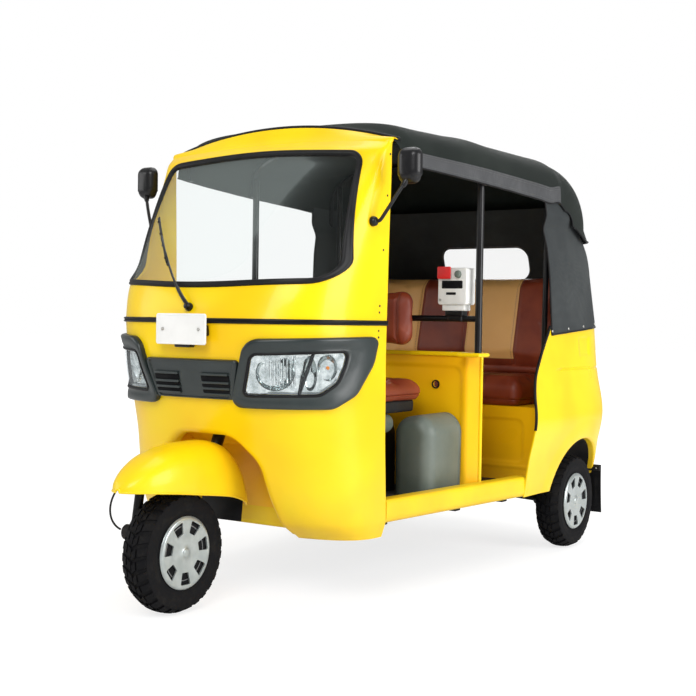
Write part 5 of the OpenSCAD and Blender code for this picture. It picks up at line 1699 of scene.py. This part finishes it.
def curtain_point(z, share, out=0.0):
    """Side and back of the curtain. Below the top of the body it lies on the quarter panel."""
    above = around_side(CURTAIN, FLAP_EDGE, np.maximum(z, CURTAIN_FOOT), share, 0.0, out)
    straight = np.array([[900, 315], [CURTAIN_FOOT, 315]], float)
    below = around_side(TAIL, straight, np.minimum(z, BODY_TOP), share, 0.0, out)
    return np.where(np.asarray(z)[..., None] < CURTAIN_FOOT, below, above)


def hem_height(share):
    y = around_side(CURTAIN, FLAP_EDGE, CURTAIN_FOOT, share, 0.0, 0.0)[..., 1]
    return BODY_TOP - 36.0 * np.clip(1 - (y - 1670) / 560, 0, 1)


def curtain_grid(out):
    v, gs = np.meshgrid(np.linspace(0, 1, 76), share, indexing="ij")
    gz = hem_height(gs) + (CURTAIN_TOP - hem_height(gs)) * v
    left = curtain_point(gz, gs, out)
    y, z = left[..., 1], left[..., 2]
    wave = 0.7 * np.sin(y * 0.041 + z * 0.013) + 0.6 * np.sin(y * 0.017 - z * 0.02)
    wave = wave * step(z, 1000, 1120) * (1 - step(z, 1400, 1500)) * (y < 2150)
    flare = 28 * step(z, 1385, 1468) * (1 - step(y, 1860, 1960))
    left[..., 0] += flare - wave
    return np.concatenate([left, (left[:, ::-1] * [-1, 1, 1])[:, 1:]], 1)


curtain_outer = curtain_grid(0.0)
curtain_sheet = Build().add(sheet_shape(curtain_outer, curtain_grid(-3.0)))
curtain = curtain_sheet.mesh_object("rear_curtain", [flap_canvas])
cut(curtain, [rings_shape([facing(window_line, 2000), facing(window_line, 2500)])])
shade(curtain, 60)
settle(curtain, "body", ["hood_rear"])
width, length = spans(curtain_outer)
wx, wz = np.meshgrid(np.linspace(-236, 236, 60), np.linspace(1202, 1366, 24), indexing="ij")
pane_grid, _ = on_back(CURTAIN)(wx, wz)
flat_area = area_of(curtain_outer) - area_of(pane_grid)
print(f"curtain {width:.2f} by {length:.2f} m, {flat_area:.2f} square metres")
WELT = [(-9, -2), (-9, 1.5), (-6, 3), (6, 3.2), (12, 2.2), (14, 0.4), (14, -1)]
welt = Build().add(trim(on_back(CURTAIN), window_line, WELT))
welt.piece("window_welt", [valance_canvas], "body", "canvas", sharp=60)
FILM_STEPS = [(0.999, -3.0), (0.999, -1.0), (0.6, -0.6), (0.2, -0.5)]
Build().add(patch(on_back(CURTAIN), window_line, FILM_STEPS)).piece(
    "window_film", [film], "body", "clear_film", ["rear_window"], sharp=60)

# %% Seams and studs
seam_lines = []
for s in (-1, 1):
    for a in (75.0, 77.0, 87.0):
        p = hood_point(np.linspace(0.02, 0.96, 160), a * s, 3.2)
        q = hood_point(np.linspace(0.02, 0.96, 160), a * s, 4.2)
        seam_lines.append((p, unit(q - p)))
for o in (-4.0, 9.0):
    p, nn = on_back(CURTAIN)(grown(window_line, o)[:, 0], grown(window_line, o)[:, 1])
    seam_lines.append((np.concatenate([p + nn * 3.0, (p + nn * 3.0)[:1]]), np.concatenate([nn, nn[:1]])))
row("hood_stitches", seam_lines, STITCH, 9.0, thread, "body", stretch=3.2, sides=6)
stud_lines = []
for s in (-1, 1):
    share_line = np.linspace(0.06, 2.0, 60)
    p = curtain_point(hem_height(share_line) + 16, share_line, 0.0) * [s, 1, 1]
    q = curtain_point(hem_height(share_line) + 16, share_line, 1.0) * [s, 1, 1]
    stud_lines.append((p, unit(q - p)))
row("curtain_studs", stud_lines, STUD, 150.0, zinc, "body")
binding = Build()
for s in (-1, 1):
    binding.add(tube(curtain_grid(-1.5)[:, 0] * [s, 1, 1], 4.0, 8))
foot = curtain_point(hem_height(share) + 1, share, -1.0)
foot = np.concatenate([foot, (foot * [-1, 1, 1])[::-1][1:]])
binding.add(tube(foot, 4.0, 8))
binding.piece("curtain_binding", [rubber], "body", "rubber", sharp=60)

# %% [markdown]
# ## Fare meter
# A white case on a dark foot, clamped to the grab rail. Its face has a dark blank display, a knob, a lock
# and the red flag that is turned to start a fare.

# %% Meter
meter = Build()
case_line = outline(corner_box(375, 525, 1065, 1210, 12))
meter.add(slab(case_line, facing, 1090, 1164, 6))
meter.add(soft_box((392, 1100, 1042), (508, 1154, 1067), 5))
meter.add(soft_box((404, 1104, 1020), (496, 1150, 1046), 6), 1)
meter.add(soft_box((412, 1112, 1000), (488, 1148, 1026), 8), 1)
meter.add(slab(outline(corner_box(396, 504, 1128, 1160, 5)), facing, 1089, 1096, 2), 1)
meter.add(slab(outline(corner_box(404, 496, 1134, 1154, 3)), facing, 1087.6, 1092, 0.8), 3)
meter.add(slab(outline(corner_box(420, 470, 1104, 1114, 3)), facing, 1088, 1092, 0.8), 1)
meter.add(slab(outline(corner_box(380, 448, 1166, 1214, 5)), facing, 1076, 1083, 1.6), 2)
meter.add(tube([[440, 1093, 1180], [440, 1080, 1180]], 6.0, 14), 4)
knob = [[482, y, 1184] for y in (1093, 1084, 1076, 1074)]
meter.add(tube(knob, np.array([15, 15, 13, 9.0]), 22), 5)
meter.add(tube([[390, 1093, 1084], [390, 1086, 1084]], 5.0, 14), 4)
meter.points = [(455 + (q[0] - 450) * 0.86, q[1], q[2]) for q in meter.points]
meter.piece("meter_case", [meter_white, black_enamel, meter_red, black_and_painted_shade, zinc, grey], "body", "meter_case",
            ["fare_meter"], sharp=45)

# %% [markdown]
# ## Wheels
# Each tyre is a turned carcass with ribs on its walls. The tread is made of two staggered rings of shoulder
# blocks and two of centre blocks, set round the wheel by a second Geometry Nodes tree. The cap is turned
# from one profile and its windows are cut near the rim, with a flat black disc behind them as painted shade.


# %% A tree that sets blocks round a wheel
def ring_tree():
    tree = new_tree("blocks round a wheel", [("Base", "NodeSocketGeometry"), ("Block", "NodeSocketObject"),
                                             ("Count", "NodeSocketInt"), ("Finish", "NodeSocketMaterial")])
    n = {k: tree.nodes.new(v) for k, v in {
        "in": "NodeGroupInput", "line": "GeometryNodeMeshLine", "index": "GeometryNodeInputIndex",
        "turn": "ShaderNodeMath", "step": "ShaderNodeMath", "angle": "ShaderNodeCombineXYZ",
        "rotation": "FunctionNodeEulerToRotation", "shape": "GeometryNodeObjectInfo",
        "set": "GeometryNodeInstanceOnPoints", "real": "GeometryNodeRealizeInstances",
        "paint": "GeometryNodeSetMaterial", "end": "NodeGroupOutput"}.items()}
    n["line"].inputs["Offset"].default_value = (0, 0, 0)
    n["step"].operation, n["turn"].operation = "DIVIDE", "MULTIPLY"
    n["step"].inputs[0].default_value = 2 * math.pi
    join_up(tree, n, [
        ("in", "Count", "line", "Count"), ("in", "Count", "step", 1), ("index", 0, "turn", 0),
        ("step", 0, "turn", 1), ("turn", 0, "angle", "X"), ("angle", 0, "rotation", 0),
        ("in", "Block", "shape", "Object"), ("line", "Mesh", "set", "Points"),
        ("rotation", 0, "set", "Rotation")])
    return tree


RING_TREE = ring_tree()
SIDE, TREAD_BLOCKS, CAP_WINDOWS = 53.5, 30, 7


def tread_height(x):
    """Outer radius of the tread across its width."""
    return WHEEL_R - 16.0 * (np.abs(x) / SIDE) ** 2.6


def block_shape():
    blocks = Build()
    for x0, x1, turn0, skew in ((-52, -24, 0.0, 0.05), (24, 52, 0.5, -0.05), (-17, -2, 0.28, 0.06),
                                (2, 17, 0.78, -0.06)):
        span = 2 * math.pi / TREAD_BLOCKS
        bottom, top = [], []
        for x, t in ((x0, 0.08), (x1, 0.08), (x1, 0.72), (x0, 0.72)):
            a = (turn0 + t) * span + skew * (x - x0) / (x1 - x0)
            for ring, drop, pull in ((bottom, 11.0, 0.0), (top, 0.3, 0.06)):
                aa = a + (0.4 - t) * span * pull
                r = float(tread_height(x)) - drop
                ring.append((x, -r * math.sin(aa), r * math.cos(aa)))
        blocks.add(rings_shape([bottom, top]))
    mesh = bpy.data.meshes.new("tread block")
    mesh.from_pydata([tuple(np.array(p) * 0.001) for p in blocks.points], [], blocks.faces)
    weld(mesh)
    obj = bpy.data.objects.new("tread block", mesh)
    scene.collection.objects.link(obj)
    return obj


def tyre(name, centre, body, node):
    x = np.linspace(-SIDE + 2, SIDE - 2, 25)
    crown = [(float(tread_height(v)) - 7.5, v) for v in x]
    wall = [(188, 53), (184, 53.8), (176, 54.5), (170, 54.2), (166, 54.8), (160, 55), (156, 54.2), (148, 53),
            (144, 52.6), (138, 50), (132, 47.5), (127, 47.8), (123, 46), (115.9, 46.3), (107, 44)]
    other = [(r, -v) for r, v in wall[::-1]]
    profile = crown + wall + [(106.6, 20), (106.6, -20)] + other
    build = Build().add(turned(profile, (0, 0, 0), 96))
    body_mesh = build.mesh_object("carcass", [tyre_rubber])
    for v in body_mesh.data.vertices:
        v.co.y -= AXLE_Y
    shade(body_mesh, 40)
    ring = bpy.data.objects.new("tread", bpy.data.meshes.new("tread"))
    scene.collection.objects.link(ring)
    block = block_shape()
    modifier = ring.modifiers.new("tread", "NODES")
    modifier.node_group = RING_TREE
    modifier[socket_id(RING_TREE, "Block")] = block
    modifier[socket_id(RING_TREE, "Count")] = TREAD_BLOCKS
    modifier[socket_id(RING_TREE, "Finish")] = tyre_rubber
    bake_modifiers(ring)
    bpy.data.objects.remove(block)
    whole = bmesh.new()
    whole.from_mesh(body_mesh.data)
    whole.from_mesh(ring.data)
    bmesh.ops.translate(whole, verts=whole.verts, vec=Vector(metres(centre)))
    mesh = bpy.data.meshes.new(name)
    whole.to_mesh(mesh)
    whole.free()
    mesh.materials.append(tyre_rubber)
    mesh.polygons.foreach_set("material_index", [0] * len(mesh.polygons))
    bpy.data.objects.remove(body_mesh)
    bpy.data.objects.remove(ring)
    obj = bpy.data.objects.new(name, mesh)
    scene.collection.objects.link(obj)
    shade(obj, 40)
    print(f"{name}: {len(mesh.polygons)} faces")
    return settle(obj, body, [node])


CENTRES = {"front": (0, 0, WHEEL_R), "rear_left": (555, REAR_AXLE, WHEEL_R),
           "rear_right": (-555, REAR_AXLE, WHEEL_R)}
for wheel, centre in CENTRES.items():
    tyre(f"{wheel}_treaded_tyre", centre, f"{wheel}_wheel", f"{wheel}_tyre")


# %% Wheel caps
def cap(name, centre, body, node, face):
    profile = [(0.1, 60), (11, 60), (14, 59), (16, 56.5), (19, 55), (30, 54.2), (50, 54), (66, 55), (90, 57),
               (108, 58.5), (114, 58.8), (118, 58), (121, 55.8), (124, 52), (124, 50.2), (118, 50.2),
               (112, 53), (90, 51.5), (66, 49.5), (50, 48.5), (30, 48.5), (0.1, 48.5)]
    build = Build().add(turned([(r, face * x) for r, x in profile], centre, 140))
    tools = []
    for k in range(CAP_WINDOWS):
        a = 2 * math.pi * k / CAP_WINDOWS + 0.2
        hole2d = outline([(66, -15, 4), (107, -25, 5), (107, 25, 5), (66, 15, 4)], arc=4, pitch=8)
        spun = np.stack([hole2d[:, 0] * math.cos(a) - hole2d[:, 1] * math.sin(a),
                         hole2d[:, 0] * math.sin(a) + hole2d[:, 1] * math.cos(a)], 1)
        q = spun + [centre[1], centre[2]]
        tools.append(rings_shape([lengthwise(q, centre[0] + face * 40),
                                  lengthwise(q, centre[0] + face * 80)]))
    build.piece(name, [cap_silver], body, "cap_silver", [node], sharp=32, cutters=tools)
    # A flat black disc behind the cap paints the shade seen through its windows.
    behind = [(58, face * 45.0), (113, face * 45.0), (113, face * 49.8), (58, face * 47.4)]
    painted_shade_disc = Build().add(turned(behind, centre, 96))
    painted_shade_disc.piece(f"{name}_backing", [black_and_painted_shade], body, "rim_steel")


for wheel, centre in CENTRES.items():
    cap(f"{wheel}_wheel_cap", centre, f"{wheel}_wheel", f"{wheel}_cap", -1 if wheel == "rear_right" else 1)

# %% [markdown]
# ## Solids that stay
# The frame, suspension, rims, posts and engine already have their right shape, so they keep their solids and
# get a finish. A CAD node is never moved, and only its material slots are touched here.

# %% Finishes for the remaining solids
# The wheel tub takes the orange copy of the enamel as painted shade in the wheel well.
FINISHES = {
    "chassis_frame": chassis_black, "head_tube": chassis_black, "floor_pan": floor_mat, "wheel_tub": amber,
    "dashboard": dark_moulding_and_painted_shade, "hood_frame": black_enamel, "engine_block": casting,
    "rear_suspension": chassis_black, "silencer": hot_steel, "steering_fork": black_enamel,
    "handlebar": black_enamel, "front_suspension": chassis_black, "front_rim": rim_grey,
    "rear_left_rim": rim_grey, "rear_right_rim": rim_grey}
for node_name, finish in FINISHES.items():
    node_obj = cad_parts[node_name]
    node_obj.data.materials.clear()
    node_obj.data.materials.append(finish)
print(len(FINISHES), "solids keep their shape")

# %% [markdown]
# ## Studio
# A pale floor and a white surround, lit by soft panels. The surround shows as plain white to the camera and
# through glass, while a weaker grey lights the object, so that the paint keeps its colour.

# %% Floor, surround and soft lights
ground = bpy.data.objects.new("studio_floor", bpy.data.meshes.new("studio_floor"))
far = 40.0
ground.data.from_pydata([(-far, -far, 0), (far, -far, 0), (far, far, 0), (-far, far, 0)], [], [(0, 1, 2, 3)])
scene.collection.objects.link(ground)
f = Finish("studio floor")
f.shader.inputs["Roughness"].default_value = 0.9
f.set("Base Color", f.mix(f.noise(0.6), rgb(0.86, 0.86, 0.86), rgb(0.9, 0.9, 0.9)))
glow = f.wire.node("ShaderNodeEmission", None, {"Color": rgb(1, 1, 1), "Strength": 1.25})
seen = f.wire.node("ShaderNodeLightPath", out="Is Camera Ray")
away = f.wire.node("ShaderNodeVectorMath", {"operation": "LENGTH"}, {0: f.place}, "Value")
both = f.wire.node("ShaderNodeMixShader", None, {0: seen * (0.6 + 0.4 * f.band(away, 2.2, 4.6)), 2: glow})
f.tree.links.new(f.shader.outputs[0], both.socket.node.inputs[1])
f.tree.links.new(both.socket, f.tree.nodes["Material Output"].inputs["Surface"])
ground.data.materials.append(f.material)
world = bpy.data.worlds.new("studio")
world.use_nodes = True
scene.world = world
path = world.node_tree.nodes.new("ShaderNodeLightPath")
direct, through, shine = (Wire(world.node_tree, path.outputs[f"Is {kind} Ray"])
                          for kind in ("Camera", "Transmission", "Glossy"))
seen = (direct + through + 0.12 * shine).clipped()
sky = world.node_tree.nodes["Background"]
sky.inputs["Color"].default_value = rgb(1, 1, 1)
world.node_tree.links.new((0.36 + seen * 0.64).socket, sky.inputs["Strength"])


def panel(name, place, aim, size, power):
    light = bpy.data.lights.new(name, "AREA")
    light.shape, light.size, light.energy = "SQUARE", size, power
    obj = bpy.data.objects.new(name, light)
    obj.location = place
    obj.rotation_euler = (Vector(aim) - Vector(place)).to_track_quat("-Z", "Y").to_euler()
    scene.collection.objects.link(obj)
    return obj


panel("key", (2.2, -5.2, 4.2), (0, -0.4, 0.8), 3.0, 200)
panel("side", (5.2, 0.2, 2.0), (0.2, 0.3, 0.8), 3.0, 190)
panel("fill", (-4.6, -3.4, 2.6), (0, -0.3, 0.8), 3.0, 70)
panel("top", (0.0, 0.6, 5.2), (0, 0.2, 0.8), 3.5, 90)
panel("back", (-1.5, 5.2, 3.2), (0, 0.8, 0.9), 3.0, 110)
